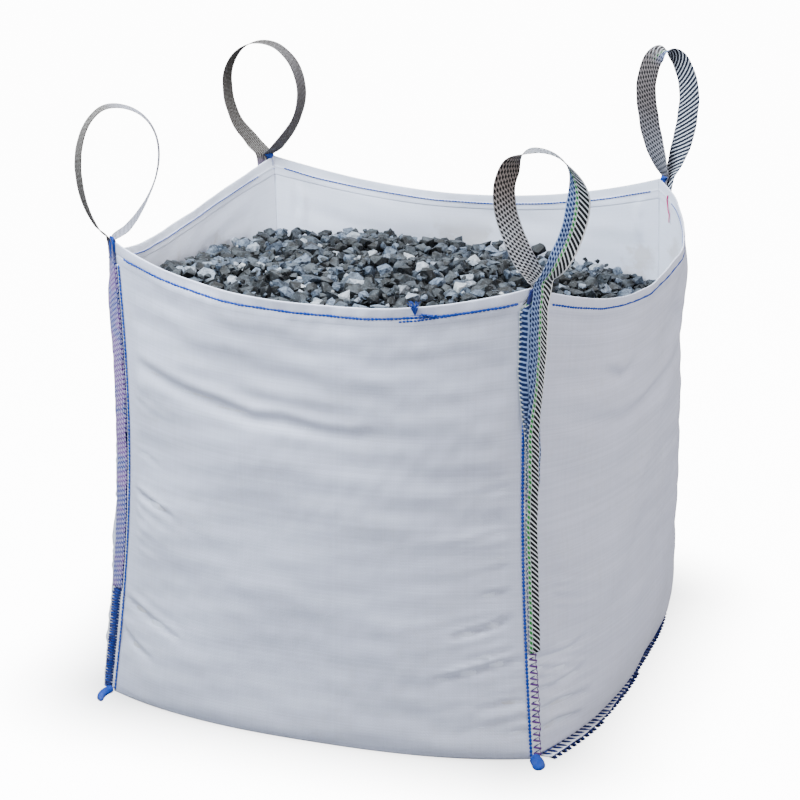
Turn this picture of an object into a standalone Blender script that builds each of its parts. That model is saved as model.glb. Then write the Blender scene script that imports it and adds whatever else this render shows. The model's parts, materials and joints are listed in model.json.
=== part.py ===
"""Open-top bulk bag (flexible intermediate bulk container) filled with stone chippings.

A wrap panel makes the front, the base and the back, and two side panels are overlocked into it.
A length of webbing is sewn down each corner and stands above it as a lifting loop.
Metres, +Z up.  The origin is the middle of the base, on the floor; the front faces -Y.
"""

import math

import bpy
import numpy as np

# ---- Driving dimensions -------------------------------------------------------------------
CLOTH = 0.0025              # woven cloth with its sewn-in air, as a solid wall
HEM_DEPTH = 0.042           # depth of the folded hem
HEM_CLOTH = 0.0045          # wall at the hem, where the cloth lies double
GAP = 0.0004                # clearance between touching pieces
SEAM_ROOM = 0.0021          # how far a panel stops short of its seam line
WEBBING_WIDTH = 0.045
WEBBING_THICK = 0.0022
FLANGE_WIDTH = 0.022        # seam allowance folded over onto the side panel
FLANGE_THICK = 0.003
BASE_SEAM_THICK = 0.0034
THREAD = 0.0022             # diameter of a chain-stitch row
HEM_ROW_DROP = 0.023        # rim edge down to the hem's stitch row
LEG_DROP = 0.745            # how far below the rim an outer webbing leg is sewn down
END_DROP = 0.400            # the same for the inner leg
END_PEEK = {   # how far the inner leg shows round each corner
    "front_left": 0.015,
    "front_right": 0.019,
    "back_right": 0.015,
    "back_left": 0.015,
}
EAR_LENGTH = 0.042          # tail of seam at each corner of the base
EAR_WIDTH = 0.014
HINGE_RISE = 0.0055         # rim up to the line on which a loop hinges
FOLD_ROOM = 0.0036          # clearance between that line and the straps below it
FILL_HEIGHT = 0.822         # top of the chippings at the walls
FILL_MOUND = 0.030          # how much higher their middle is
FILL_FLOOR = 0.0046         # underside of the chippings
FILL_INSET = 0.0068         # outside of the bag in to the chippings

# ---- Shape of the filled bag --------------------------------------------------------------
FOOT_HALF = 0.463           # base corners, out from the middle along X and Y
HEIGHT = 0.972              # mean height of the rim's corners
# Each corner: its signs in X and Y, the place of its top, and how far in it is drawn half way.
CORNERS = {
    "front_left": ((-1, -1), (0.430, 0.438, 0.974), 0.030),
    "front_right": ((1, -1), (0.437, 0.456, 0.966), 0.030),
    "back_right": ((1, 1), (0.461, 0.455, 0.981), -0.008),
    "back_left": ((-1, 1), (0.459, 0.444, 0.967), 0.020),
}
# Each wall: its corners from left to right seen from outside, its outward direction, its bulge
# at the foot, the belly and the rim, the height of its roll off the floor, the sag of its rim,
# and how full the bulge stays towards its left and its right corner.
WALLS = {
    "front": (("front_left", "front_right"), (0, -1), (0.078, 0.100, 0.085), 0.045, 0.054, (2.7, 2.7)),
    "right": (("front_right", "back_right"), (1, 0), (0.072, 0.120, 0.124), 0.150, 0.092, (2.6, 4.0)),
    "back": (("back_right", "back_left"), (0, 1), (0.078, 0.104, 0.066), 0.045, 0.078, (3.0, 2.8)),
    "left": (("back_left", "front_left"), (-1, 0), (0.072, 0.122, 0.104), 0.150, 0.092, (2.8, 3.8)),
}
# Each loop: the height of its crown above its hinge line, its reach outwards and inwards, how
# far its crown leans outwards, its roundness at the foot, how far its plane is turned from the
# straight outward direction, and how far the webbing's width is turned on the way round.
LOOPS = {
    "front_left": (0.268, (0.062, 0.100), -0.012, 0.55, 0, (0, 5, -8, -18, 0)),
    "front_right": (0.256, (0.070, 0.062), -0.012, 1.0, 54, (0, -30, -118, -190, -180)),
    "back_right": (0.282, (0.044, 0.044), -0.012, 1.0, -25, (0, 42, 30, 42, 0)),
    "back_left": (0.262, (0.092, 0.092), 0.004, 0.55, 27, (0, 24, 30, 24, 0)),
}


LOOP_TURNS = ((0.06, 0.22), (0.22, 0.46), (0.54, 0.78), (0.78, 0.94))   # where a loop twists
QUICK_TURNS = ((0.06, 0.22), (0.22, 0.41), (0.49, 0.63), (0.78, 0.94))  # the half-turned one


def mix(a, b, t):
    return a + (b - a) * t


def smooth(t):
    """Smooth step from 0 at t = 0 to 1 at t = 1."""
    t = np.clip(t, 0.0, 1.0)
    return t * t * (3.0 - 2.0 * t)


def heading(degrees):
    """Level unit vector at an azimuth measured from +X towards +Y."""
    return np.array([math.cos(math.radians(degrees)), math.sin(math.radians(degrees)), 0.0])


# ---- Walls --------------------------------------------------------------------------------
def seam_point(corner, v):
    """Corner seam at share v of its height: a straight line drawn in half way up."""
    (sx, sy), (top_x, top_y, top_z), drawn = CORNERS[corner]
    v = np.asarray(v, float)
    inward = drawn / math.sqrt(2) * np.sin(math.pi * np.clip(v, 0, 1))
    x = sx * (mix(FOOT_HALF, top_x, v) - inward)
    y = sy * (mix(FOOT_HALF, top_y, v) - inward)
    return np.stack([x, y, top_z * v], -1)


def bulge(wall, v):
    """How far the middle of a wall stands out: a quarter round off the floor, then a blend."""
    _, _, (foot, belly, rim), roll, _, _ = WALLS[wall]
    rise = np.clip(v * HEIGHT / roll, 0, 1)
    lift = np.sqrt(1 - (1 - rise) ** 2)
    return mix(foot, mix(belly, rim, smooth((v - 0.45) / 0.55)), lift)


def fullness(wall, u):
    """Share of the bulge left at u: 1 in the middle, 0 on both seams."""
    powers = WALLS[wall][5]
    power = np.where(u < 0, powers[0], powers[1])
    return 1 - np.abs(u) ** power


def wall_point(wall, u, v):
    """Outside of a wall: u runs from -1 to 1 between its seams, v from the floor to the rim."""
    (first, second), out, _, _, sag, _ = WALLS[wall]
    u, v = np.broadcast_arrays(np.asarray(u, float), np.asarray(v, float))
    share = ((u + 1) / 2)[..., None]
    point = mix(seam_point(first, v), seam_point(second, v), share)
    point = point + (bulge(wall, v) * fullness(wall, u))[..., None] * np.array([*out, 0.0])
    point[..., 2] -= sag * (1 - np.abs(u) ** 2.2) * np.clip(v, 0, 1) ** 3
    return point


def wall_normal(wall, u, v):
    """Unit normal out of the bag, from small steps along u and v."""
    step = 1e-4
    u, v = np.broadcast_arrays(np.asarray(u, float), np.asarray(v, float))
    along = wall_point(wall, u + step, v) - wall_point(wall, u - step, v)
    up = wall_point(wall, u, v + step) - wall_point(wall, u, v)
    normal = np.cross(along, up)
    return normal / np.linalg.norm(normal, axis=-1, keepdims=True)


def wall_at_height(wall, u, z):
    """Share v at which a wall's point at u has height z, by fixed-point steps."""
    sag = WALLS[wall][4] * (1 - np.abs(u) ** 2.2)
    first, second = WALLS[wall][0]
    top = mix(CORNERS[first][1][2], CORNERS[second][1][2], (u + 1) / 2)
    v = z / top
    for _ in range(8):
        v = (z + sag * v ** 3) / top
    return v


# ---- Corners ------------------------------------------------------------------------------
def corner_walls(corner):
    """The side wall and the wrap wall that meet at a corner, each with its u at the seam."""
    (sx, sy), _, _ = CORNERS[corner]
    side = "right" if sx > 0 else "left"
    wrap = "front" if sy < 0 else "back"
    found = []
    for wall in (side, wrap):
        found.append((wall, -1.0 if WALLS[wall][0][0] == corner else 1.0))
    return found


def around(corner, w, v, lift=0.0):
    """Point w metres round a corner, on the side wall where w > 0 and on the wrap wall where
    w < 0, raised by lift along a normal that turns smoothly from one wall's to the other's."""
    w, v, lift = np.broadcast_arrays(np.asarray(w, float), np.asarray(v, float), np.asarray(lift, float))
    points = []
    normals = []
    for wall, seam in corner_walls(corner):
        edge = wall_point(wall, seam, v)
        inside = wall_point(wall, seam * 0.96, v)
        scale = np.linalg.norm(edge - inside, axis=-1) / 0.04
        u = seam * (1 - np.abs(w) / scale)
        points.append(wall_point(wall, u, v))
        normals.append(wall_normal(wall, u, v))
    on_side = (w > 0)[..., None]
    turn = smooth((w + 0.010) / 0.020)[..., None]
    normal = mix(normals[1], normals[0], turn)
    normal = normal / np.linalg.norm(normal, axis=-1, keepdims=True)
    return np.where(on_side, points[0], points[1]) + normal * lift[..., None]


def drop_share(corner, drop):
    """Share v of a corner's height that lies a given drop below its rim."""
    return 1 - drop / CORNERS[corner][1][2]


def flange_lift(w):
    """How far the seam allowance lifts a strap that lies over it, w metres round the corner."""
    return (FLANGE_THICK + GAP) * smooth((w + 0.014) / 0.007) * (1 - smooth((w - 0.023) / 0.012))


def end_lift(corner, w, drop):
    """How far the inner leg lifts the outer one, w metres round and a drop below the rim."""
    edge = WEBBING_WIDTH - END_PEEK[corner]
    across = 1 - smooth((w - edge - 0.004) / 0.011)
    down = 1 - smooth((drop - END_DROP - 0.006) / 0.030)
    return (WEBBING_THICK + GAP) * across * down


# ---- Solids -------------------------------------------------------------------------------
def remove_everything():
    for thing in list(bpy.data.objects):
        bpy.data.objects.remove(thing, do_unlink=True)


def add_mesh(name, points, faces, material, origin=(0.0, 0.0, 0.0)):
    """Object with the given points, moved so that its own origin is at origin."""
    mesh = bpy.data.meshes.new(name)
    local = np.asarray(points) - np.asarray(origin)
    mesh.from_pydata(local.tolist(), [], [tuple(face) for face in faces])
    mesh.validate()
    mesh.materials.append(material)
    for polygon in mesh.polygons:
        polygon.use_smooth = True
    thing = bpy.data.objects.new(name, mesh)
    thing.location = origin
    bpy.context.scene.collection.objects.link(thing)
    return thing


def grid_faces(rows, columns, start=0, flip=False):
    """Triangles of a rows x columns grid of points that begins at index start, every quad
    split the same way, so that the two faces of thin twisted webbing never cross."""
    faces = []
    for i in range(rows - 1):
        for j in range(columns - 1):
            a = start + i * columns + j
            b = a + columns
            for face in ((a, b, b + 1), (a, b + 1, a + 1)):
                faces.append(face[::-1] if flip else face)
    return faces


def rim_of_grid(rows, columns):
    """Indices round the edge of a grid, in order."""
    bottom = [j for j in range(columns)]
    right = [i * columns + columns - 1 for i in range(1, rows)]
    top = [(rows - 1) * columns + j for j in range(columns - 2, -1, -1)]
    left = [i * columns for i in range(rows - 2, 0, -1)]
    return bottom + right + top + left


def slab(name, outer, inner, material, origin=(0.0, 0.0, 0.0)):
    """Closed solid between two grids of points.  Seen from outside, rows go along a grid's
    first index and columns along its second, turning clockwise."""
    rows, columns = outer.shape[:2]
    count = rows * columns
    faces = grid_faces(rows, columns) + grid_faces(rows, columns, count, flip=True)
    edge = rim_of_grid(rows, columns)
    for a, b in zip(edge, edge[1:] + edge[:1]):
        faces.append((a, b, b + count, a + count))
    points = np.concatenate([outer.reshape(-1, 3), inner.reshape(-1, 3)])
    thing = add_mesh(name, points, faces, material, origin)
    face_outwards(thing)
    return thing


def face_outwards(thing):
    """Turn every face over if the closed mesh encloses a negative volume."""
    mesh = thing.data
    mesh.calc_loop_triangles()
    volume = 0.0
    for triangle in mesh.loop_triangles:
        a, b, c = (mesh.vertices[i].co for i in triangle.vertices)
        volume += a.dot(b.cross(c))
    if volume < 0:
        mesh.flip_normals()
    mesh.update()


def tube(name, path, radius, material, sides=5):
    """Closed round bar of a given radius along a path of points."""
    path = np.asarray(path)
    ahead = np.gradient(path, axis=0)
    ahead /= np.linalg.norm(ahead, axis=1, keepdims=True)
    upright = np.array([0.0, 0.0, 1.0]) if abs(ahead[0, 2]) < 0.7 else np.array([1.0, 0.0, 0.0])
    across = np.cross(ahead, upright)
    across /= np.linalg.norm(across, axis=1, keepdims=True)
    up = np.cross(across, ahead)
    turn = np.arange(sides) * 2 * math.pi / sides
    ring = np.cos(turn)[None, :, None] * across[:, None] + np.sin(turn)[None, :, None] * up[:, None]
    points = (path[:, None] + radius * ring).reshape(-1, 3)
    faces = []
    for i in range(len(path) - 1):
        for j in range(sides):
            k = (j + 1) % sides
            faces.append((i * sides + j, i * sides + k, (i + 1) * sides + k, (i + 1) * sides + j))
    faces.append(tuple(range(sides))[::-1])
    faces.append(tuple((len(path) - 1) * sides + j for j in range(sides)))
    thing = add_mesh(name, points, faces, material)
    face_outwards(thing)
    return thing


def make_material(name, colour, roughness, metallic=0.0):
    material = bpy.data.materials.new(name)
    material.use_nodes = True
    shader = material.node_tree.nodes["Principled BSDF"]
    shader.inputs["Base Color"].default_value = (*colour, 1.0)
    shader.inputs["Roughness"].default_value = roughness
    shader.inputs["Metallic"].default_value = metallic
    material.diffuse_color = (*colour, 1.0)
    return material


# ---- Panels -------------------------------------------------------------------------------
def wall_levels(wall, lowest=0.0):
    """Shares v from the floor to the rim: close together in the roll and round the hem."""
    roll = WALLS[wall][3] / HEIGHT
    turn = np.linspace(0, math.pi / 2, 7)
    low = roll * (1 - np.cos(turn))
    hem = 1 - HEM_DEPTH / HEIGHT
    middle = np.linspace(roll, hem - 0.012, 10)[1:]
    high = np.array([hem - 0.001, hem + 0.001, 0.975, 0.988, 1.0])
    levels = np.concatenate([low, middle, high])
    return np.concatenate([[lowest], levels[levels > lowest + 0.002]])


def panel_shares(wall, count):
    """Shares u across a wall, stopping SEAM_ROOM short of each seam."""
    edge = 1 - SEAM_ROOM / (2 * FOOT_HALF) * 2
    return np.sin(np.linspace(-1, 1, count) * 1.25) / math.sin(1.25) * edge


def cloth_wall(v):
    """Wall thickness: double at the hem."""
    return np.where(v > 1 - HEM_DEPTH / HEIGHT, HEM_CLOTH, CLOTH)


def base_point(u, t):
    """Underside of the base: a patch between the feet of the four walls, u and t from -1 to 1."""
    u, t = np.broadcast_arrays(np.asarray(u, float), np.asarray(t, float))
    across = ((u + 1) / 2)[..., None]
    along = ((t + 1) / 2)[..., None]
    between_wraps = mix(wall_point("front", u, 0.0), wall_point("back", -u, 0.0), along)
    between_sides = mix(wall_point("left", -t, 0.0), wall_point("right", t, 0.0), across)
    corners = [seam_point(name, 0.0) for name in ("front_left", "front_right", "back_left", "back_right")]
    plain = mix(mix(corners[0], corners[1], across), mix(corners[2], corners[3], across), along)
    return between_wraps + between_sides - plain


def inner_face(wall, u, v):
    """Inside of a wall's cloth: the outside moved level by the wall's thickness, and, where the
    wall rolls under, raised by the same."""
    outer = wall_point(wall, u, v)
    step = 1e-4
    along = wall_point(wall, u + step, v) - wall_point(wall, u - step, v)
    inward = np.stack([-along[..., 1], along[..., 0], 0 * along[..., 0]], -1)
    inward /= np.linalg.norm(inward, axis=-1, keepdims=True)
    lift = CLOTH * (1 - smooth(outer[..., 2:] / 0.05))
    return outer + inward * cloth_wall(v)[..., None] + lift * np.array([0.0, 0.0, 1.0])


def make_wrap_panel(material):
    """One cloth down the front, under the base and up the back."""
    u = panel_shares("front", 25)
    front = wall_levels("front")[::-1]
    back = wall_levels("back")
    base = np.linspace(-1, 1, 11)[1:-1]
    across = u[None, :]
    underside = base_point(across, base[:, None])
    outer = [wall_point("front", across, front[:, None]), underside]
    outer.append(wall_point("back", -across, back[:, None]))
    inner = [inner_face("front", across, front[:, None]), underside + np.array([0.0, 0.0, CLOTH])]
    inner.append(inner_face("back", -across, back[:, None]))
    return slab("wrap_panel", np.concatenate(outer), np.concatenate(inner), material)


def make_side_panel(side, material):
    """Side cloth from the base seam to the rim."""
    u = panel_shares(side, 25)
    levels = wall_levels(side, lowest=(BASE_SEAM_THICK + 2 * GAP) / HEIGHT)
    outer = wall_point(side, u[None, :], levels[:, None])
    inner = inner_face(side, u[None, :], levels[:, None])
    return slab("side_panel_" + side, outer, inner, material)


# ---- Seams and stitches -------------------------------------------------------------------
def make_corner_seam(corner, material):
    """Overlocked seam allowance, folded over onto the side panel from floor to rim."""
    lowest = (BASE_SEAM_THICK + 3 * GAP) / HEIGHT
    v = np.concatenate([[lowest], np.linspace(0.012, 0.10, 5), np.linspace(0.15, 0.992, 15)])[:, None]
    w = np.linspace(-0.005, FLANGE_WIDTH - 0.005, 6)[None, :]
    outer = around(corner, w, v, GAP + FLANGE_THICK)
    inner = around(corner, w, v, GAP)
    return slab("corner_seam_" + corner, outer, inner, material)


def make_base_seam(side, material):
    """Seam allowance between the side panel and the base, flat on the floor."""
    u = np.linspace(-0.962, 0.962, 31)
    foot = wall_point(side, u, 0.0)
    ahead = np.gradient(foot, axis=0)
    out = np.stack([ahead[:, 1], -ahead[:, 0], 0 * u], -1)
    out /= np.linalg.norm(out, axis=1, keepdims=True)
    reach = np.array([GAP / 2 - SEAM_ROOM / 2, FLANGE_WIDTH - SEAM_ROOM / 2])
    inner = foot[:, None] + out[:, None] * reach[None, :, None]
    outer = inner + np.array([0.0, 0.0, BASE_SEAM_THICK])
    return slab("base_seam_" + side, outer, inner, material)


def make_seam_ear(corner, material):
    """Tail of overlocked seam that curls out over the floor at a corner of the base."""
    (sx, sy), _, _ = CORNERS[corner]
    t = np.linspace(0, 1, 9)[:, None]
    turn = math.atan2(sy, sx) + 0.5 * t * sx * sy
    length = 0.0014 + EAR_LENGTH * t
    centre = seam_point(corner, 0.0) + np.array([sx, sy, 0.0]) * 0.0012
    path = centre + np.concatenate([np.cos(turn) * length, np.sin(turn) * length, 0 * t], 1)
    half = EAR_WIDTH / 2 * np.sqrt(np.clip(1 - (t - 0.25) ** 2 / 0.62, 0.04, 1)) * np.clip(t * 6 + 0.3, 0, 1)
    side = np.concatenate([-np.sin(turn), np.cos(turn), 0 * t], 1)
    across = np.linspace(-1, 1, 5)
    low = path[:, None] + side[:, None] * (half * across)[..., None]
    high = low + np.array([0.0, 0.0, BASE_SEAM_THICK])
    return slab("seam_ear_" + corner, high, low, material)


def make_hem_stitch(wall, material):
    """Row of chain stitch along a wall's hem, between the straps."""
    reach = 0.90 if wall in ("left", "right") else 0.955
    u = np.linspace(-reach, reach, 37)
    v = 1 - HEM_ROW_DROP / HEIGHT
    path = wall_point(wall, u, v) + wall_normal(wall, u, v) * (GAP + THREAD / 2)
    return tube("hem_stitch_" + wall, path, THREAD / 2, material)


def make_marker_thread(material):
    """Pink thread that hangs inside the bag beside the back right seam."""
    v = np.linspace(0.984, 0.925, 9)
    depth = HEM_CLOTH + GAP + THREAD / 2
    path = wall_point("right", 0.93, v) - wall_normal("right", 0.93, v) * depth
    return tube("marker_thread", path, THREAD / 2, material)


# ---- Webbing ------------------------------------------------------------------------------
def hinge_frame(corner):
    """A loop's hinge point, outward direction and hinge axis, on the strap stack at the rim."""
    lift = GAP + FLANGE_THICK + GAP + WEBBING_THICK + GAP / 2
    w = np.array([0.012, 0.024, 0.036])
    line = around(corner, w, 1.0, lift)
    along = line[2] - line[0]
    along[2] = 0.0
    along /= np.linalg.norm(along)
    out = np.array([along[1], -along[0], 0.0])
    (sx, sy), _, _ = CORNERS[corner]
    if out[0] * sx < 0:
        out = -out
    axis = np.array([-out[1], out[0], 0.0])
    point = line[1].copy()
    point[2] = CORNERS[corner][1][2] + HINGE_RISE
    return point, out, axis


def strap_levels(corner, drop):
    """Shares v down a strap, from just under its loop's hinge line to a drop below the rim."""
    top = CORNERS[corner][1][2]
    highest = 1 + (HINGE_RISE - FOLD_ROOM) / top
    levels = np.linspace(0.992, drop_share(corner, drop), 13)
    step = drop_share(corner, END_DROP + np.array([0.005, 0.014, 0.028, 0.040]))
    if drop > END_DROP:
        levels = np.sort(np.concatenate([levels, step]))[::-1]
    return np.concatenate([[highest], levels])


def make_strap_leg(corner, material):
    """Outer leg of the webbing, sewn down the side panel over the inner leg."""
    v = strap_levels(corner, LEG_DROP)[:, None]
    w = np.linspace(0.0015, 0.0015 + WEBBING_WIDTH, 9)[None, :]
    drop = (1 - v) * CORNERS[corner][1][2]
    lift = GAP + flange_lift(w) + end_lift(corner, w, drop)
    outer = around(corner, w, v, lift + WEBBING_THICK)
    inner = around(corner, w, v, lift)
    return slab("strap_leg_" + corner, outer, inner, material)


def make_strap_end(corner, material):
    """Inner leg of the webbing, under the outer one and a little way round the corner."""
    v = strap_levels(corner, END_DROP)[:, None]
    w = np.linspace(-END_PEEK[corner], WEBBING_WIDTH - END_PEEK[corner], 11)[None, :]
    lift = GAP + flange_lift(w)
    outer = around(corner, w, v, lift + WEBBING_THICK)
    inner = around(corner, w, v, lift)
    return slab("strap_end_" + corner, outer, inner, material)


def make_corner_tack(corner, material):
    """Bar of thick thread that ties the inner leg to the rim at the corner."""
    v = np.linspace(0.994, 0.962, 6)[:, None]
    w = np.linspace(-END_PEEK[corner], WEBBING_WIDTH - END_PEEK[corner], 11)[None, 1:4]
    lift = GAP + flange_lift(w) + WEBBING_THICK + 2 * GAP
    outer = around(corner, w, v, lift + 0.0014)
    inner = around(corner, w, v, lift)
    return slab("corner_tack_" + corner, outer, inner, material)


def loop_line(corner, t):
    """Middle line of a loop and its width direction at shares t from the outer leg's foot to
    the inner leg's: a drop shape, z = H (1 - cos 2 pi t) / 2, with its two legs reaching out by
    sin 2 pi t times a power of sin pi t, and its width turned by smooth steps between keys."""
    height, reach, lean, power, stand, keys = LOOPS[corner]
    point, out, axis = hinge_frame(corner)
    t = np.asarray(t, float)
    arch = np.sin(math.pi * t)
    swing = np.sin(2 * math.pi * t) * arch ** power
    swing = swing / np.abs(np.sin(2 * math.pi * 0.3) * math.sin(math.pi * 0.3) ** power)
    swing = swing * smooth((np.minimum(t, 1 - t) - 0.015) / 0.08)
    side = np.where(t < 0.5, reach[0], reach[1]) * swing + lean * arch ** 4
    half = (WEBBING_THICK + GAP) / 2
    foot = half * np.cos(math.pi * t)
    shift = mix(0.0, -0.008, smooth(t))
    rise = mix(-0.002, height, arch ** 2)
    turned = np.radians(stand) * smooth((np.minimum(t, 1 - t) - 0.05) / 0.15)
    spread = np.cos(turned)[:, None] * out + np.sin(turned)[:, None] * axis
    line = point + spread * side[:, None] + out * foot[:, None]
    along = axis if axis @ (around(corner, 0.04, 1.0) - around(corner, 0.01, 1.0)) > 0 else -axis
    line = line + along * shift[:, None]
    line[:, 2] = point[2] + rise
    turn = np.zeros_like(t)
    for i, (start, end) in enumerate(QUICK_TURNS if keys[-1] else LOOP_TURNS):
        turn += (keys[i + 1] - keys[i]) * smooth((t - start) / (end - start))
    azimuth = math.degrees(math.atan2(axis[1], axis[0])) + keys[0] + turn
    width = np.stack([np.cos(np.radians(azimuth)), np.sin(np.radians(azimuth)), 0 * t], -1)
    return line, width


def loop_grids(corner, t):
    """The two faces of a loop's webbing, square to its middle line at every t."""
    line, width = loop_line(corner, t)
    ahead = np.gradient(line, t, axis=0)
    ahead /= np.linalg.norm(ahead, axis=1, keepdims=True)
    ahead[0] = (0.0, 0.0, 1.0)
    ahead[-1] = (0.0, 0.0, -1.0)
    width = width - (width * ahead).sum(1, keepdims=True) * ahead
    width /= np.linalg.norm(width, axis=1, keepdims=True)
    face = np.cross(ahead, width)
    across = np.linspace(-0.5, 0.5, 3) * WEBBING_WIDTH
    middle = line[:, None] + width[:, None] * across[None, :, None]
    half = face[:, None] * WEBBING_THICK / 2
    return middle + half, middle - half


def make_loop(corner, material):
    """Free webbing of a lifting loop, with its origin on the line where it folds."""
    t = np.concatenate([[0.0, 0.012], np.linspace(0.03, 0.97, 41), [0.988, 1.0]])
    outer, inner = loop_grids(corner, t)
    point = hinge_frame(corner)[0]
    return slab("lifting_loop_" + corner, outer, inner, material, origin=point)


# ---- Chippings ----------------------------------------------------------------------------
def fill_ring(z):
    """Outline of the chippings at height z, a little inside the four walls."""
    points = []
    for wall in ("front", "right", "back", "left"):
        u = np.sin(np.linspace(-1, 1, 13) * 1.3) / math.sin(1.3) * 0.968
        v = wall_at_height(wall, u, z)
        point = wall_point(wall, u, v)
        normal = wall_normal(wall, u, v)
        normal[:, 2] = 0.0
        normal /= np.linalg.norm(normal, axis=1, keepdims=True)
        points.append(point - normal * (FILL_INSET + 0.004 * (1 - smooth(z / 0.03))))
    ring = np.concatenate(points)
    ring[:, 2] = z
    return ring


def make_gravel_bed(material):
    """Heap of chippings that fills the bag, as one solid with a low mound on top."""
    turn = np.linspace(0, math.pi / 2, 8)
    low = FILL_FLOOR + 0.12 * (1 - np.cos(turn))
    levels = np.concatenate([low, np.linspace(0.12 + FILL_FLOOR, FILL_HEIGHT, 10)[1:]])
    rings = [fill_ring(z) for z in levels]
    top = rings[-1]
    for share in (0.86, 0.7, 0.5, 0.28):
        ring = top * share
        ring[:, 2] = FILL_HEIGHT + FILL_MOUND * (1 - share ** 2)
        rings.append(ring)
    count = len(top)
    points = np.concatenate(rings + [np.array([[0.0, 0.0, FILL_HEIGHT + FILL_MOUND]])])
    faces = [tuple(range(count))[::-1]]
    for i in range(len(rings) - 1):
        for j in range(count):
            k = (j + 1) % count
            faces.append((i * count + j, i * count + k, (i + 1) * count + k, (i + 1) * count + j))
    last = (len(rings) - 1) * count
    for j in range(count):
        faces.append((last + j, last + (j + 1) % count, len(points) - 1))
    thing = add_mesh("gravel_bed", points, faces, material)
    face_outwards(thing)
    return thing


# ---- Assembly -----------------------------------------------------------------------------
def main():
    remove_everything()
    cloth = (0.72, 0.73, 0.77)
    blue = (0.02, 0.12, 0.52)
    webbing = (0.16, 0.18, 0.20)
    make_wrap_panel(make_material("woven_cloth_wrap", cloth, 0.55))
    for side in ("left", "right"):
        make_side_panel(side, make_material("woven_cloth_" + side, cloth, 0.55))
        make_base_seam(side, make_material("overlock_base_" + side, (0.30, 0.34, 0.48), 0.7))
    for corner in CORNERS:
        make_loop(corner, make_material("webbing_loop_" + corner, webbing, 0.7))
        make_strap_leg(corner, make_material("webbing_leg_" + corner, webbing, 0.7))
        make_strap_end(corner, make_material("webbing_end_" + corner, webbing, 0.7))
        make_corner_tack(corner, make_material("tack_thread_" + corner, blue, 0.6))
        make_corner_seam(corner, make_material("overlock_" + corner, (0.35, 0.42, 0.62), 0.7))
        make_seam_ear(corner, make_material("ear_thread_" + corner, blue, 0.7))
    for wall in WALLS:
        make_hem_stitch(wall, make_material("hem_thread_" + wall, blue, 0.6))
    make_marker_thread(make_material("marker_thread_pink", (0.75, 0.16, 0.36), 0.6))
    make_gravel_bed(make_material("stone_chippings", (0.10, 0.12, 0.14), 0.8))


main()
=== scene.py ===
# %% [markdown]
# # A bulk bag full of stone chippings
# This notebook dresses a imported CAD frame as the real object: a woven bag whose cloth is
# pulled tight by 1.2 tonnes of slate chippings, with a webbing loop standing at each corner.
# The frame says where everything is and how the loops hinge, and it is never moved. Each
# cell below makes one piece or one finish and says how the real one is made.

# %% Load the frame
import json
import math
import bmesh
import bpy
import numpy as np
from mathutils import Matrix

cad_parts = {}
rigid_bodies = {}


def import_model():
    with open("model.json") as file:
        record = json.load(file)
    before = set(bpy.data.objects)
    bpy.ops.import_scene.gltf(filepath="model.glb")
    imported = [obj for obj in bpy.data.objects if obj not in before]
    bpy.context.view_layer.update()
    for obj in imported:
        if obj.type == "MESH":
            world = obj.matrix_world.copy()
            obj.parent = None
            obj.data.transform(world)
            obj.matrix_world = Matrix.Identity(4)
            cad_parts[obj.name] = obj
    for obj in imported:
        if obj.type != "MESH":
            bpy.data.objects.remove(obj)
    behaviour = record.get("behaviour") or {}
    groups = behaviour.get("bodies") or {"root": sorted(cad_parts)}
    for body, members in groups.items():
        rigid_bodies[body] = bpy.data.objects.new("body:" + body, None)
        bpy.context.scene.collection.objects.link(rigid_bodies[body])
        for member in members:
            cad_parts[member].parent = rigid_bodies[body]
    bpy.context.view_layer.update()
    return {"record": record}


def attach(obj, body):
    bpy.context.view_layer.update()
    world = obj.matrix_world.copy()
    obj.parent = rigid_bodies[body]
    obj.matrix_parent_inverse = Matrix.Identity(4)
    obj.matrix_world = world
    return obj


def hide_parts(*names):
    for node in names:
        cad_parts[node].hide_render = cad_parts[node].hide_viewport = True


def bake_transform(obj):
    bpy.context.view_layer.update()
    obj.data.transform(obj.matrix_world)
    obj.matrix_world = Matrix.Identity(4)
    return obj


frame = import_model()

joints = {joint["name"]: joint for joint in frame["record"]["behaviour"]["joints"]}

# %% [markdown]
# ## The camera and the light
# A long lens from about five metres keeps the bag's sides nearly parallel. The bag stands on
# a pale floor that runs far back, so that no edge shows, under one large soft light from the
# upper left, a weaker one from the right, and an almost white sky that fills the shadows.

# %% Place the camera
AZIMUTH, ELEVATION = 19.804, 18.364      # degrees round from the front, and up
DISTANCE = 5.0
LENS = 104.37
TARGET = np.array([0.014, 0.0, 0.558])


def camera_offset(azimuth, elevation, distance):
    """Vector from the target to a camera that looks at it from these two angles."""
    a, e = math.radians(azimuth), math.radians(elevation)
    return distance * np.array([math.sin(a) * math.cos(e), -math.cos(a) * math.cos(e), math.sin(e)])


camera_data = bpy.data.cameras.new("camera")
camera_data.lens = LENS
camera = bpy.data.objects.new("camera", camera_data)
camera.location = TARGET + camera_offset(AZIMUTH, ELEVATION, DISTANCE)
camera.rotation_euler = (math.radians(90 - ELEVATION), 0.0, math.radians(AZIMUTH))
bpy.context.scene.collection.objects.link(camera)
bpy.context.scene.camera = camera
print("camera at", [round(c, 3) for c in camera.location])


# %% Light the stage
def add_light(name, power, size, azimuth, elevation, distance, colour=(1.0, 1.0, 1.0)):
    """Square area light that faces the bag from the given direction."""
    data = bpy.data.lights.new(name, "AREA")
    data.energy = power
    data.size = size
    data.color = colour
    light = bpy.data.objects.new(name, data)
    light.location = TARGET + camera_offset(azimuth, elevation, distance)
    light.rotation_euler = (math.radians(90 - elevation), 0.0, math.radians(azimuth))
    bpy.context.scene.collection.objects.link(light)
    return light


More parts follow.
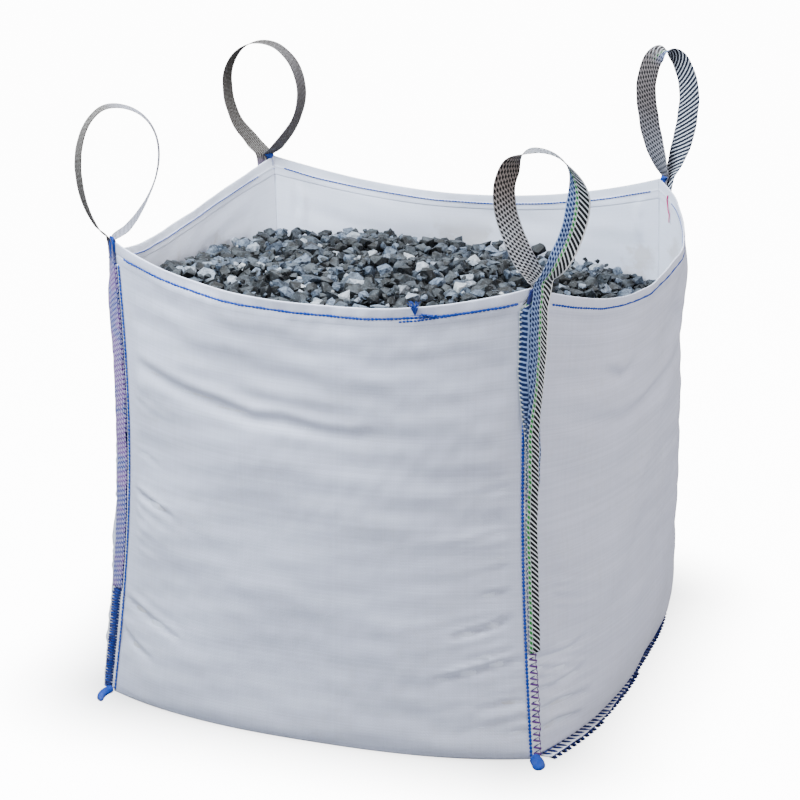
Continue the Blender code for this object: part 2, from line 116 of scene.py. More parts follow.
add_light("key_light", 160.0, 1.5, -34.0, 58.0, 2.15, (0.86, 0.94, 1.0))
add_light("fill_light", 106.0, 2.4, 80.0, 34.0, 3.6, (1.0, 0.97, 0.955))
add_light("back_light", 110.0, 2.5, 190.0, 60.0, 3.8)
world = bpy.data.worlds.new("pale_sky")
world.use_nodes = True
sky = world.node_tree.nodes["Background"]
sky.inputs["Color"].default_value = (0.93, 0.95, 1.0, 1.0)
seen = world.node_tree.nodes.new("ShaderNodeLightPath")
strength = world.node_tree.nodes.new("ShaderNodeMapRange")      # brighter where it is looked at
strength.inputs["To Min"].default_value = 0.41
strength.inputs["To Max"].default_value = 14.0
world.node_tree.links.new(seen.outputs["Is Camera Ray"], strength.inputs["Value"])
world.node_tree.links.new(strength.outputs["Result"], sky.inputs["Strength"])
bpy.context.scene.world = world

# %% [markdown]
# ## Small tools for meshes
# Every new surface is a grid of points: one array whose first index runs along the piece and
# whose second runs across it. The helpers below turn such grids into closed meshes, and copy
# one small shape to many places, without a loop over points.


# %% Meshes from arrays
def object_from_arrays(name, points, faces, uv=None, attributes=None, smooth=True):
    """Object at the origin from an array of points and an array of three- or four-cornered
    faces; uv has one pair for each point, and attributes one number for each point."""
    mesh = bpy.data.meshes.new(name)
    points = np.asarray(points, dtype=np.float64).reshape(-1, 3)
    faces = np.asarray(faces, dtype=np.int32)
    corners = faces.shape[1]
    mesh.vertices.add(len(points))
    mesh.vertices.foreach_set("co", points.ravel())
    mesh.loops.add(faces.size)
    mesh.loops.foreach_set("vertex_index", faces.ravel())
    mesh.polygons.add(len(faces))
    mesh.polygons.foreach_set("loop_start", np.arange(len(faces), dtype=np.int32) * corners)
    mesh.polygons.foreach_set("use_smooth", np.full(len(faces), smooth))
    mesh.update(calc_edges=True)
    if uv is not None:
        layer = mesh.uv_layers.new(name="UVMap")
        layer.data.foreach_set("uv", np.asarray(uv, float)[faces.ravel()].ravel())
    for key, values in (attributes or {}).items():
        layer = mesh.attributes.new(key, "FLOAT", "POINT")
        layer.data.foreach_set("value", np.asarray(values, dtype=np.float32).ravel())
    thing = bpy.data.objects.new(name, mesh)
    bpy.context.scene.collection.objects.link(thing)
    return thing


def signed_volume(points, faces):
    """Volume inside a closed mesh: positive where its faces point outwards."""
    a, b, c = points[faces[:, 0]], points[faces[:, 1]], points[faces[:, 2]]
    total = np.einsum("ij,ij->i", a, np.cross(b, c)).sum()
    if faces.shape[1] == 4:
        d = points[faces[:, 3]]
        total += np.einsum("ij,ij->i", a, np.cross(c, d)).sum()
    return total / 6.0


def outwards(points, faces):
    """The same faces, turned over if the closed mesh has a negative volume."""
    return faces if signed_volume(points, faces) > 0 else faces[:, ::-1]


def grid_quads(rows, columns, wrap_rows=False, wrap_columns=False):
    """Quads between neighbouring points of a grid, whose ends may be joined in a ring."""
    i = np.arange(rows if wrap_rows else rows - 1)[:, None]
    j = np.arange(columns if wrap_columns else columns - 1)[None, :]
    i, j = np.broadcast_arrays(i, j)
    k, m = (i + 1) % rows, (j + 1) % columns
    quads = np.stack([i * columns + j, k * columns + j, k * columns + m, i * columns + m], -1)
    return quads.reshape(-1, 4)


def unit(vectors):
    """Vectors of length one."""
    return vectors / np.maximum(np.linalg.norm(vectors, axis=-1, keepdims=True), 1e-12)


def mix(a, b, t):
    return a + (b - a) * t


def smooth(t):
    """Smooth step from 0 at t = 0 to 1 at t = 1."""
    t = np.clip(t, 0.0, 1.0)
    return t * t * (3.0 - 2.0 * t)


def bump(distance, width):
    """Bell curve of height 1: exp(-(distance / width) squared)."""
    return np.exp(-(distance / width) ** 2)


print("grid of 3 x 4 points:", len(grid_quads(3, 4)), "quads")

# %% Tubes and repeated shapes
def tube_grid(path, radius, sides=6, flatten=1.0, upright=(0.0, 0.0, 1.0)):
    """Points of a round bar: at each point of a path, a ring of radius times (cos a, sin a) in
    the plane square to the path; flatten squeezes the ring across its second direction."""
    path = np.asarray(path, float)
    ahead = unit(np.gradient(path, axis=-2))
    across = unit(np.cross(ahead, np.asarray(upright, float)))
    up = np.cross(across, ahead)
    turn = np.arange(sides) * 2 * math.pi / sides
    radius = np.broadcast_to(np.asarray(radius, float), path.shape[:-1])[..., None, None]
    ring = np.cos(turn)[:, None] * across[..., None, :] + flatten * np.sin(turn)[:, None] * up[..., None, :]
    return path[..., None, :] + radius * ring


def tube_quads(length, sides):
    """Quads of one tube, with its ends closed by folding the last ring across itself."""
    body = grid_quads(length, sides, wrap_columns=True)
    half = sides // 2
    first = np.array([[j, j + 1, sides - 2 - j, sides - 1 - j] for j in range(half - 1)])
    last = first[:, ::-1] + (length - 1) * sides
    return np.concatenate([body, first, last])


def repeat_shape(shape, quads, places, ahead, up):
    """Copies of one small shape, whose points are (along, across, raised), at each place,
    turned to run along ahead and to stand up along up."""
    ahead = unit(ahead)
    across = unit(np.cross(up, ahead))
    up = np.cross(ahead, across)
    turned = (places[:, None] + shape[None, :, :1] * ahead[:, None]
              + shape[None, :, 1:2] * across[:, None] + shape[None, :, 2:] * up[:, None])
    offsets = (np.arange(len(places)) * len(shape))[:, None, None]
    return turned.reshape(-1, 3), (quads[None] + offsets).reshape(-1, 4)


def join_parts(parts):
    """One array of points and one of faces from several pairs of them."""
    points = np.concatenate([p for p, _ in parts])
    starts = np.cumsum([0] + [len(p) for p, _ in parts[:-1]])
    faces = np.concatenate([f + start for (_, f), start in zip(parts, starts)])
    return points, faces


print("mesh helpers ready")

# %% [markdown]
# ## The shape of the filled bag
# The cut cloth is flat and square, but stone pushes every wall out until it is nearly a
# barrel. Four corner seams hold it in, so the plan is a square with bulged sides, and the rim
# sags between the loops. Each wall is one formula of u, from seam to seam, and v, from the
# floor to the rim, and it is the same formula that the frame's solids were made from.

# %% Corners and walls
HEIGHT = 0.972              # mean height of the rim's corners
FOOT_HALF = 0.463           # base corners, out from the middle
GAP = 0.0004                # clearance between touching pieces
HEM_DEPTH = 0.042
WEBBING_WIDTH = 0.045
WEBBING_THICK = 0.0022
FLANGE_WIDTH = 0.022
FLANGE_THICK = 0.003
LEG_DROP = 0.745            # outer webbing leg, sewn this far down
END_DROP = 0.400            # inner leg
END_PEEK = {                # how much of the inner leg shows round each corner
    "front_left": 0.000, "front_right": 0.019, "back_right": 0.012, "back_left": 0.012}

# Each corner: its signs in X and Y, the place of its top, and how far in it is drawn half way.
CORNERS = {
    "front_left": ((-1, -1), (0.430, 0.438, 0.974), 0.030),
    "front_right": ((1, -1), (0.437, 0.456, 0.966), 0.030),
    "back_right": ((1, 1), (0.461, 0.455, 0.981), -0.008),
    "back_left": ((-1, 1), (0.459, 0.444, 0.967), 0.020),
}
# Each wall: its corners from left to right seen from outside, its outward direction, its bulge
# at the foot, the belly and the rim, the height of its roll off the floor, the sag of its rim,
# and how full the bulge stays towards its left and its right corner.
WALLS = {
    "front": (("front_left", "front_right"), (0, -1), (0.078, 0.100, 0.085), 0.045, 0.054, (2.7, 2.7)),
    "right": (("front_right", "back_right"), (1, 0), (0.072, 0.120, 0.124), 0.150, 0.092, (2.6, 4.0)),
    "back": (("back_right", "back_left"), (0, 1), (0.078, 0.104, 0.066), 0.045, 0.078, (3.0, 2.8)),
    "left": (("back_left", "front_left"), (-1, 0), (0.072, 0.122, 0.104), 0.150, 0.092, (2.8, 3.8)),
}


def seam_point(corner, v):
    """Corner seam at share v of its height: a straight line drawn in half way up."""
    (sx, sy), (top_x, top_y, top_z), drawn = CORNERS[corner]
    v = np.asarray(v, float)
    inward = drawn / math.sqrt(2) * np.sin(math.pi * np.clip(v, 0, 1))
    x = sx * (mix(FOOT_HALF, top_x, v) - inward)
    y = sy * (mix(FOOT_HALF, top_y, v) - inward)
    return np.stack([x, y, top_z * v], -1)


def bulge(wall, v):
    """How far the middle of a wall stands out: a quarter round off the floor, then a blend."""
    _, _, (foot, belly, rim), roll, _, _ = WALLS[wall]
    rise = np.clip(v * HEIGHT / roll, 0, 1)
    lift = np.sqrt(1 - (1 - rise) ** 2)
    return mix(foot, mix(belly, rim, smooth((v - 0.45) / 0.55)), lift)


def wall_point(wall, u, v):
    """Taut outside of a wall: its seams, joined by a straight line and pushed out by the bulge
    times 1 - |u| to a power, with the rim let down by its sag times v cubed."""
    (first, second), out, _, _, sag, powers = WALLS[wall]
    u, v = np.broadcast_arrays(np.asarray(u, float), np.asarray(v, float))
    share = ((u + 1) / 2)[..., None]
    full = 1 - np.abs(u) ** np.where(u < 0, powers[0], powers[1])
    point = mix(seam_point(first, v), seam_point(second, v), share)
    point = point + (bulge(wall, v) * full)[..., None] * np.array([*out, 0.0])
    point[..., 2] -= sag * (1 - np.abs(u) ** 2.2) * np.clip(v, 0, 1) ** 3
    return point


def wall_normal(wall, u, v):
    """Unit normal out of the bag, from small steps along u and v."""
    step = 1e-4
    u, v = np.broadcast_arrays(np.asarray(u, float), np.asarray(v, float))
    along = wall_point(wall, u + step, v) - wall_point(wall, u - step, v)
    up = wall_point(wall, u, v + step) - wall_point(wall, u, v)
    return unit(np.cross(along, up))


rim_low = min(wall_point(wall, 0.0, 1.0)[2] for wall in WALLS)

# %% [markdown]
# ## Creases
# A wall is never quite smooth. Long shallow creases run down from the corners where the
# webbing takes the load, fans of short ripples leave the sewn seams because thread gathers
# cloth, and the whole panel quilts a little over the stones behind it. Each kind is a small
# formula of s, metres across the wall, and h, metres up it, and the heights are added.

# %% Creases as heights
HALF_WIDTH = 0.455          # from the middle of a wall to its seam
DEEPEST = 0.0100            # no crease is deeper, because the stones lie behind it


def ripple_noise(s, h, seed, count, low, high, stretch):
    """Sum of count sine waves with random directions and wavelengths between low and high;
    stretch above 1 lays the waves level, so that their crests run along s."""
    draw = np.random.default_rng(seed)
    total = np.zeros(np.broadcast(s, h).shape)
    for _ in range(count):
        wavelength = draw.uniform(low, high)
        angle = draw.uniform(-1.0, 1.0) / stretch
        phase = draw.uniform(0, 2 * math.pi)
        ahead = s * math.sin(angle) + h * math.cos(angle)
        total = total + np.sin(2 * math.pi * ahead / wavelength + phase)
    return total / math.sqrt(count)


def crease(s, h, points, depth, width, side=0.6):
    """A crease along a line of (s, h) points: a bell-shaped valley, with a softer ridge on its
    upper side, both fading out towards the line's two ends."""
    nearest = np.full(np.broadcast(s, h).shape, 9.0)
    along = np.zeros_like(nearest)
    above = np.zeros_like(nearest)
    points = np.asarray(points, float)
    lengths = np.linalg.norm(np.diff(points, axis=0), axis=1)
    starts = np.concatenate([[0.0], np.cumsum(lengths)])
    for start, end, length, run in zip(points[:-1], points[1:], lengths, starts):
        way = (end - start) / length
        t = np.clip((s - start[0]) * way[0] + (h - start[1]) * way[1], 0, length)
        ds, dh = s - start[0] - t * way[0], h - start[1] - t * way[1]
        distance = np.hypot(ds, dh)
        closer = distance < nearest
        nearest = np.where(closer, distance, nearest)
        along = np.where(closer, run + t, along)
        above = np.where(closer, dh, above)
    fade = np.sin(math.pi * np.clip(along / starts[-1], 0.0, 1.0)) ** 0.7
    ridge = side * bump(above - 1.5 * width, 1.3 * width) * bump(nearest, 2.6 * width)
    ends = smooth(along / (4 * width)) * smooth((starts[-1] - along) / (4 * width))
    return depth * fade * ends * (ridge - bump(nearest, width))


def seam_fan(s, h, side, bottom, top, seed, height=0.0016, reach=0.10):
    """Short ripples that leave the seam on one side, between two heights: level waves about
    22 mm apart, tilted down away from the seam and dying out over reach."""
    distance = np.maximum(HALF_WIDTH - side * s, 0.0)
    waves = ripple_noise(distance * 0.25, h + 0.28 * distance, seed, 5, 0.016, 0.034, 3.0)
    patches = 0.5 + 0.5 * ripple_noise(distance, h, seed + 50, 3, 0.10, 0.22, 4.0)
    window = smooth((h - bottom) / 0.08) * (1 - smooth((h - top) / 0.12))
    start = smooth(distance / 0.012)
    return height * waves * np.clip(patches, 0, 1.4) * window * start * np.exp(-distance / reach)


def front_creases(s, h):
    """The front wall: one long sagging crease under the rim, shorter ones at both seams."""
    total = crease(s, h, [(-0.45, 0.747), (-0.33, 0.722), (-0.21, 0.706), (-0.115, 0.690), (-0.05, 0.693),
                          (0.045, 0.680), (0.11, 0.677), (0.20, 0.695)], 0.0042, 0.016, 0.9)
    total += crease(s, h, [(-0.20, 0.745), (-0.02, 0.722), (0.16, 0.735)], 0.0020, 0.022)
    total += crease(s, h, [(-0.462, 0.462), (-0.387, 0.448), (-0.30, 0.431)], 0.0032, 0.006)
    total += crease(s, h, [(-0.46, 0.545), (-0.40, 0.538), (-0.35, 0.528)], 0.0018, 0.006)
    total += crease(s, h, [(-0.462, 0.222), (-0.362, 0.190), (-0.27, 0.168)], 0.0028, 0.007)
    total += crease(s, h, [(-0.462, 0.150), (-0.40, 0.120), (-0.34, 0.105)], 0.0020, 0.007)
    total += crease(s, h, [(0.30, 0.256), (0.38, 0.278), (0.462, 0.312)], 0.0034, 0.006)
    total += crease(s, h, [(0.27, 0.165), (0.37, 0.194), (0.462, 0.222)], 0.0034, 0.006)
    total += crease(s, h, [(0.36, 0.345), (0.41, 0.352), (0.462, 0.372)], 0.0020, 0.006)
    total += crease(s, h, [(0.34, 0.105), (0.40, 0.118), (0.462, 0.128)], 0.0022, 0.006)
    total += seam_fan(s, h, 1, 0.02, 0.52, 21, 0.0015, 0.09)
    total += seam_fan(s, h, -1, 0.06, 0.60, 22, 0.0010, 0.06)
    return total


def right_creases(s, h):
    """The right wall: folds that fan out of the base corner, and a dent beside the strap."""
    total = crease(s, h, [(-0.452, 0.145), (-0.40, 0.135), (-0.30, 0.150)], 0.0034, 0.008)
    total += crease(s, h, [(-0.455, 0.095), (-0.38, 0.098), (-0.28, 0.085)], 0.0040, 0.009)
    total += crease(s, h, [(-0.450, 0.050), (-0.40, 0.060), (-0.31, 0.046)], 0.0040, 0.008)
    total += crease(s, h, [(-0.452, 0.200), (-0.37, 0.198), (-0.30, 0.212)], 0.0026, 0.008)
    total += crease(s, h, [(-0.30, 0.80), (-0.19, 0.765), (-0.10, 0.79)], 0.0038, 0.020)
    total += crease(s, h, [(-0.40, 0.70), (-0.20, 0.655), (0.05, 0.665), (0.30, 0.70)], 0.0034, 0.024)
    total += crease(s, h, [(0.10, 0.86), (0.18, 0.79), (0.22, 0.70)], 0.0040, 0.022)
    total += seam_fan(s, h, -1, 0.015, 0.30, 31, 0.0022, 0.08)
    total += seam_fan(s, h, 1, 0.03, 0.60, 32, 0.0014, 0.08)
    return total


def back_creases(s, h):
    """The back wall: a crease under the rim and sharp folds at both corners."""
    total = crease(s, h, [(-0.43, 0.72), (-0.18, 0.672), (0.12, 0.68), (0.43, 0.735)], 0.0038, 0.018, 0.9)
    total += crease(s, h, [(0.28, 0.40), (0.38, 0.415), (0.46, 0.44)], 0.0030, 0.007)
    total += crease(s, h, [(-0.46, 0.30), (-0.37, 0.275), (-0.27, 0.262)], 0.0030, 0.007)
    total += crease(s, h, [(0.44, 0.955), (0.425, 0.90), (0.43, 0.82)], 0.0040, 0.010)
    total += crease(s, h, [(0.405, 0.94), (0.395, 0.88), (0.40, 0.81)], 0.0030, 0.009)
    total += crease(s, h, [(-0.42, 0.95), (-0.40, 0.90), (-0.41, 0.83)], 0.0030, 0.010)
    total += seam_fan(s, h, 1, 0.02, 0.55, 41, 0.0014, 0.09)
    total += seam_fan(s, h, -1, 0.02, 0.50, 42, 0.0014, 0.08)
    return total


def left_creases(s, h):
    """The left wall: much like the right one, seen from the other side."""
    total = crease(s, h, [(-0.40, 0.71), (-0.16, 0.66), (0.12, 0.672), (0.40, 0.72)], 0.0036, 0.022)
    total += crease(s, h, [(0.45, 0.11), (0.37, 0.10), (0.27, 0.115)], 0.0036, 0.008)
    total += crease(s, h, [(0.45, 0.055), (0.38, 0.06), (0.28, 0.05)], 0.0036, 0.008)
    total += crease(s, h, [(-0.45, 0.13), (-0.38, 0.115), (-0.29, 0.13)], 0.0030, 0.008)
    total += seam_fan(s, h, -1, 0.015, 0.40, 51, 0.0018, 0.08)
    total += seam_fan(s, h, 1, 0.015, 0.45, 52, 0.0018, 0.08)
    return total


WALL_CREASES = {"front": front_creases, "right": right_creases, "back": back_creases, "left": left_creases}


def crease_height(wall, u, v):
    """How far the real cloth stands off the taut wall: creases, a low quilting by the stones,
    and a wave along the rim; it is zero on the seams, under the straps and on the floor."""
    s, h = u * HALF_WIDTH, v * HEIGHT
    number = list(WALLS).index(wall)
    total = 2.5 * WALL_CREASES[wall](s, h)
    total += 0.0032 * ripple_noise(s, h, 60 + number, 7, 0.16, 0.42, 1.2)
    total += 0.0010 * ripple_noise(s * 0.5, h, 90 + number, 6, 0.05, 0.12, 2.0)
    total += 0.00035 * ripple_noise(s, h, 70 + number, 8, 0.035, 0.09, 0.9)
    total += 0.0016 * smooth((v - 0.90) / 0.08) * ripple_noise(s, 0.0, 80 + number, 4, 0.10, 0.30, 0.7)
    distance = HALF_WIDTH * (1 - np.abs(u))
    room = 0.050 if wall in ("left", "right") else 0.017
    strap = smooth((h - (HEIGHT - LEG_DROP) + 0.03) / 0.04)
    edge = mix(smooth(distance / 0.016), smooth((distance - room) / 0.035), strap)
    total = np.where(total < 0, -DEEPEST * np.tanh(-total / DEEPEST), total)
    return total * edge * smooth(h / 0.02)


def cloth_point(wall, u, v, lift=0.0):
    """Outside of the real cloth, raised by lift along the wall's normal."""
    u, v = np.broadcast_arrays(np.asarray(u, float), np.asarray(v, float))
    height = crease_height(wall, u, v) + lift
    return wall_point(wall, u, v) + wall_normal(wall, u, v) * height[..., None]


sample = crease_height("front", np.linspace(-1, 1, 80)[None, :], np.linspace(0, 1, 80)[:, None])
print("front creases from", round(sample.min() * 1000, 1), "to", round(sample.max() * 1000, 1), "mm")

# %% [markdown]
# ## The woven panels
# The bag is sewn from three cloths. One long cloth runs down the front, under the base and up
# the back, and a square cloth closes each side. The rim is a hem, folded inwards and stitched,
# so its wall is thicker and its top edge is round. Each panel is built as a thin closed skin:
# a grid of outside points, the same shape moved in by the cloth's thickness, and a half-round
# edge where the two meet at the rim. Its UV map is in metres along the tapes of the weave.

# %% Closed cloth from two faces
CLOTH_THICK = 0.0014
HEM_THICK = 0.0034
SEAM_ROOM = 0.00005         # how far the cloth's edge stops short of its seam line


def half_round(near, far, ahead, count):
    """Rows that carry an edge round from near to far: middle + cos a (near - far) / 2
    + sin a times half the thickness along ahead."""
    a = np.linspace(0, math.pi, count + 2)[1:-1, None, None]
    radius = np.linalg.norm(near - far, axis=-1, keepdims=True) / 2
    return (near + far) / 2 + np.cos(a) * (near - far) / 2 + np.sin(a) * radius * ahead


def zip_edges(first, second):
    """Triangles between two lines of point numbers that run side by side."""
    t, r = np.linspace(0, 1, len(first)), np.linspace(0, 1, len(second))
    opposite = np.searchsorted(r[1:], t[1:], side="left")
    one = np.stack([first[:-1], first[1:], second[np.minimum(opposite, len(second) - 1)]], -1)
    opposite = np.searchsorted(t[1:], r[1:], side="right")
    two = np.stack([second[1:], second[:-1], first[np.minimum(opposite, len(first) - 1)]], -1)
    return np.concatenate([one, two])


def closed_cloth(name, outer, inner, marks, marks_inner, both_ends):
    """Closed thin cloth.  outer and inner are grids of points with the same columns; their
    last rows meet in a rounded hem, and so do their first rows where both_ends is true.
    marks hold, for each point, its UV pair and its distance from the rim."""
    turn = 3
    over = half_round(outer[-1], inner[-1], unit(outer[-1] - outer[-2]), turn)
    parts, notes = [outer, over, inner[::-1]], [marks, np.repeat(marks[-1:], turn, 0), marks_inner[::-1]]
    inside = [np.zeros(len(outer)), np.linspace(0, 1, turn), np.ones(len(inner))]
    if both_ends:
        parts.append(half_round(inner[0], outer[0], unit(outer[0] - outer[1]), turn))
        notes.append(np.repeat(marks[:1], turn, 0))
        inside.append(np.linspace(1, 0, turn))
    points, notes = np.concatenate(parts), np.concatenate(notes)
    rows, columns = points.shape[:2]
    quads = grid_quads(rows, columns, wrap_rows=True)
    triangles = np.concatenate([quads[:, [0, 1, 2]], quads[:, [0, 2, 3]]])
    split = len(outer) + turn // 2 + 1
    start = rows - (turn // 2 if both_ends else 0)
    first = np.concatenate([np.arange(start, rows), np.arange(split)]) * columns
    second = np.arange(split, start)[::-1] * columns
    near = zip_edges(first, second)
    far = near[:, ::-1] + columns - 1
    points = points.reshape(-1, 3)
    faces = outwards(points, np.concatenate([triangles, near[:, ::-1], far[:, ::-1]]))
    inside = np.repeat(np.concatenate(inside), columns)
    notes = notes.reshape(-1, 3)
    marked = {"rim_distance": notes[:, 2], "inside": inside}
    thing = object_from_arrays(name, points, faces, notes[:, :2], marked)
    print(name, len(faces), "triangles")
    return thing


def wall_levels(step, lowest=0.0):
    """Shares v from the floor to the rim: closer in the roll, and at the hem's rows."""
    low = 0.05 * (1 - np.cos(np.linspace(0, math.pi / 2, 9)))
    middle = np.arange(0.05 + step, HEIGHT - HEM_DEPTH - 0.006, step)
    drops = np.array([0.044, 0.0425, 0.0415, 0.040, 0.034, 0.029, 0.026, 0.0243, 0.023, 0.0217,
                      0.020, 0.017, 0.012, 0.007, 0.003, 0.0])
    heights = np.concatenate([low, middle, HEIGHT - drops])
    return np.concatenate([[lowest], heights[heights > lowest + 0.001]]) / HEIGHT


def wall_shares(count):
    """Shares u across a wall, closer together near the seams."""
    edge = 1 - SEAM_ROOM / HALF_WIDTH
    return np.sin(np.linspace(-1, 1, count) * 1.18) / math.sin(1.18) * edge


def hem_shape(v):
    """Height of the outside at the hem: a groove along the stitches, a soft step below."""
    drop = (1 - v) * HEIGHT
    return -0.0010 * bump(drop - 0.023, 0.0022) + 0.0006 * (1 - smooth((drop - HEM_DEPTH + 0.004) / 0.006))


def hem_pucker(u, v):
    """Small waves that the stitches draw into the hem, about 11 mm long."""
    drop = (1 - v) * HEIGHT
    return 0.0005 * bump(drop - 0.020, 0.010) * np.sin(u * HALF_WIDTH * 2 * math.pi / 0.011)


def wall_grids(wall, u, levels):
    """Outside and inside of a wall's cloth, and their marks: metres across, metres up, and
    metres below the rim."""
    u, v = np.broadcast_arrays(u[None, :], levels[:, None])
    outer = cloth_point(wall, u, v, hem_shape(v) + hem_pucker(u, v))
    thick = mix(CLOTH_THICK, HEM_THICK, 1 - smooth(((1 - v) * HEIGHT - HEM_DEPTH + 0.001) / 0.0015))
    inner = outer - wall_normal(wall, u, v) * thick[..., None]
    marks = np.stack([u * HALF_WIDTH, v * HEIGHT, np.minimum((1 - v) * HEIGHT, 0.5)], -1)
    return outer, inner, marks


print("rows on a wall:", len(wall_levels(0.007)))


# %% The wrap panel
def base_point(u, t):
    """Underside of the base: a patch between the feet of the four walls, u and t from -1 to 1."""
    u, t = np.broadcast_arrays(np.asarray(u, float), np.asarray(t, float))
    across, along = ((u + 1) / 2)[..., None], ((t + 1) / 2)[..., None]
    between_wraps = mix(wall_point("front", u, 0.0), wall_point("back", -u, 0.0), along)
    between_sides = mix(wall_point("left", -t, 0.0), wall_point("right", t, 0.0), across)
    corners = [seam_point(name, 0.0) for name in ("front_left", "front_right", "back_left", "back_right")]
    plain = mix(mix(corners[0], corners[1], across), mix(corners[2], corners[3], across), along)
    return between_wraps + between_sides - plain


def wrap_grids(step, base_rows, columns):
    """The long cloth's outside and inside, from the front rim down, along and up the back."""
    u = wall_shares(columns)
    levels = wall_levels(step)
    front, front_in, front_marks = wall_grids("front", u, levels[::-1])
    back, back_in, back_marks = wall_grids("back", -u, levels)
    t = np.linspace(-1, 1, base_rows)[1:-1]
    base = base_point(u[None, :], t[:, None])
    base_marks = np.zeros((len(t), columns, 3))
    base_marks[..., 0] = u * HALF_WIDTH
    base_marks[..., 1] = -0.46 * (1 + t[:, None])
    base_marks[..., 2] = 0.5
    back_marks = back_marks * [1, -1, 1] - [0, 0.92, 0]
    outer = np.concatenate([front, base, back])
    inner = np.concatenate([front_in, base + [0, 0, CLOTH_THICK], back_in])
    lowest = CLOTH_THICK * smooth(1 - outer[..., 2] / 0.02)
    inner[..., 2] = np.maximum(inner[..., 2], lowest)
    return outer, inner, np.concatenate([front_marks, base_marks, back_marks])


COLUMNS = 129
outer, _, marks = wrap_grids(0.0072, 28, COLUMNS)
_, inner, marks_inner = wrap_grids(0.016, 14, COLUMNS)
wrap_cloth = closed_cloth("wrap_cloth", outer, inner, marks, marks_inner, True)
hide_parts("wrap_panel")
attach(wrap_cloth, "bag")

# %% [markdown]
# ## The side panels
# These are square cloths with the same hem. They start just above the base seam, whose cut
# edges are turned out flat on the floor, and the belly of the bag rolls down over it.

# %% Two side panels
side_cloths = {}
for side in ("left", "right"):
    shares = wall_shares(COLUMNS)
    outer, _, marks = wall_grids(side, shares, wall_levels(0.0060, lowest=0.0040))
    _, inner, marks_inner = wall_grids(side, shares, wall_levels(0.014, lowest=0.0040))
    cloth = closed_cloth("side_cloth_" + side, outer, inner, marks, marks_inner, False)
    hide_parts("side_panel_" + side)
    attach(cloth, "bag")
    side_cloths[side] = cloth

# %% [markdown]
# ## The lifting webbing
# One length of woven webbing makes each lifting loop. It is sewn to the outside of the side
# panel, rises past the rim as the outer leg, twists over the top, comes down as the inner leg
# and ends under the outer one, where it shows a little round the corner. The fold at the rim
# is where the loop hinges, so the webbing bends there between the bag and the loop.

# %% Points round a corner
HINGE_RISE = 0.0055
LOOPS = {  # height, (reach out, reach in), lean, foot roundness, plane turn, width-turn keys
    "front_left": (0.268, (0.062, 0.100), -0.012, 0.55, 0, (0, 5, -8, -18, 0)),
    "front_right": (0.256, (0.070, 0.062), -0.012, 1.0, 54, (0, -30, -118, -190, -180)),
    "back_right": (0.282, (0.044, 0.044), -0.012, 1.0, -25, (0, 42, 30, 42, 0)),
    "back_left": (0.262, (0.092, 0.092), 0.004, 0.55, 27, (0, 24, 30, 24, 0)),
}
LOOP_TURNS = ((0.06, 0.22), (0.22, 0.46), (0.54, 0.78), (0.78, 0.94))
QUICK_TURNS = ((0.06, 0.22), (0.22, 0.41), (0.49, 0.63), (0.78, 0.94))


def corner_walls(corner):
    """The side wall and the wrap wall that meet at a corner, each with its u at the seam."""
    (sx, sy), _, _ = CORNERS[corner]
    names = ("right" if sx > 0 else "left", "front" if sy < 0 else "back")
    return [(wall, -1.0 if WALLS[wall][0][0] == corner else 1.0) for wall in names]


def around(corner, w, v, lift=0.0):
    """Point w metres round a corner, on the side wall where w > 0 and on the wrap wall where
    w < 0, raised by lift along a normal that turns smoothly between the two walls."""
    w, v, lift = np.broadcast_arrays(np.asarray(w, float), np.asarray(v, float), np.asarray(lift, float))
    points, normals = [], []
    for wall, seam in corner_walls(corner):
        edge, inside = wall_point(wall, seam, v), wall_point(wall, seam * 0.96, v)
        u = seam * (1 - np.abs(w) / (np.linalg.norm(edge - inside, axis=-1) / 0.04))
        points.append(wall_point(wall, u, v))
        normals.append(wall_normal(wall, u, v))
    normal = unit(mix(normals[1], normals[0], smooth((w + 0.010) / 0.020)[..., None]))
    return np.where((w > 0)[..., None], points[0], points[1]) + normal * lift[..., None]


def flange_lift(w):
    """How far the seam allowance lifts webbing that lies over it."""
    return (FLANGE_THICK + GAP) * smooth((w + 0.014) / 0.007) * (1 - smooth((w - 0.023) / 0.012))


def end_lift(corner, w, drop):
    """How far the inner leg lifts the outer one."""
    across = 1 - smooth((w - WEBBING_WIDTH + END_PEEK[corner] - 0.004) / 0.011)
    return (WEBBING_THICK + GAP) * across * (1 - smooth((drop - END_DROP - 0.006) / 0.030))


def hinge_frame(corner):
    """The middle of a loop's fold, the direction outwards and the direction of the fold."""
    line = around(corner, np.array([0.012, 0.024, 0.036]), 1.0, FLANGE_THICK + WEBBING_THICK + 2.5 * GAP)
    along = unit((line[2] - line[0]) * [1, 1, 0])
    out = np.array([along[1], -along[0], 0.0])
    out = -out if out[0] * CORNERS[corner][0][0] < 0 else out
    point = np.array([line[1][0], line[1][1], CORNERS[corner][1][2] + HINGE_RISE])
    return point, out, np.array([-out[1], out[0], 0.0])


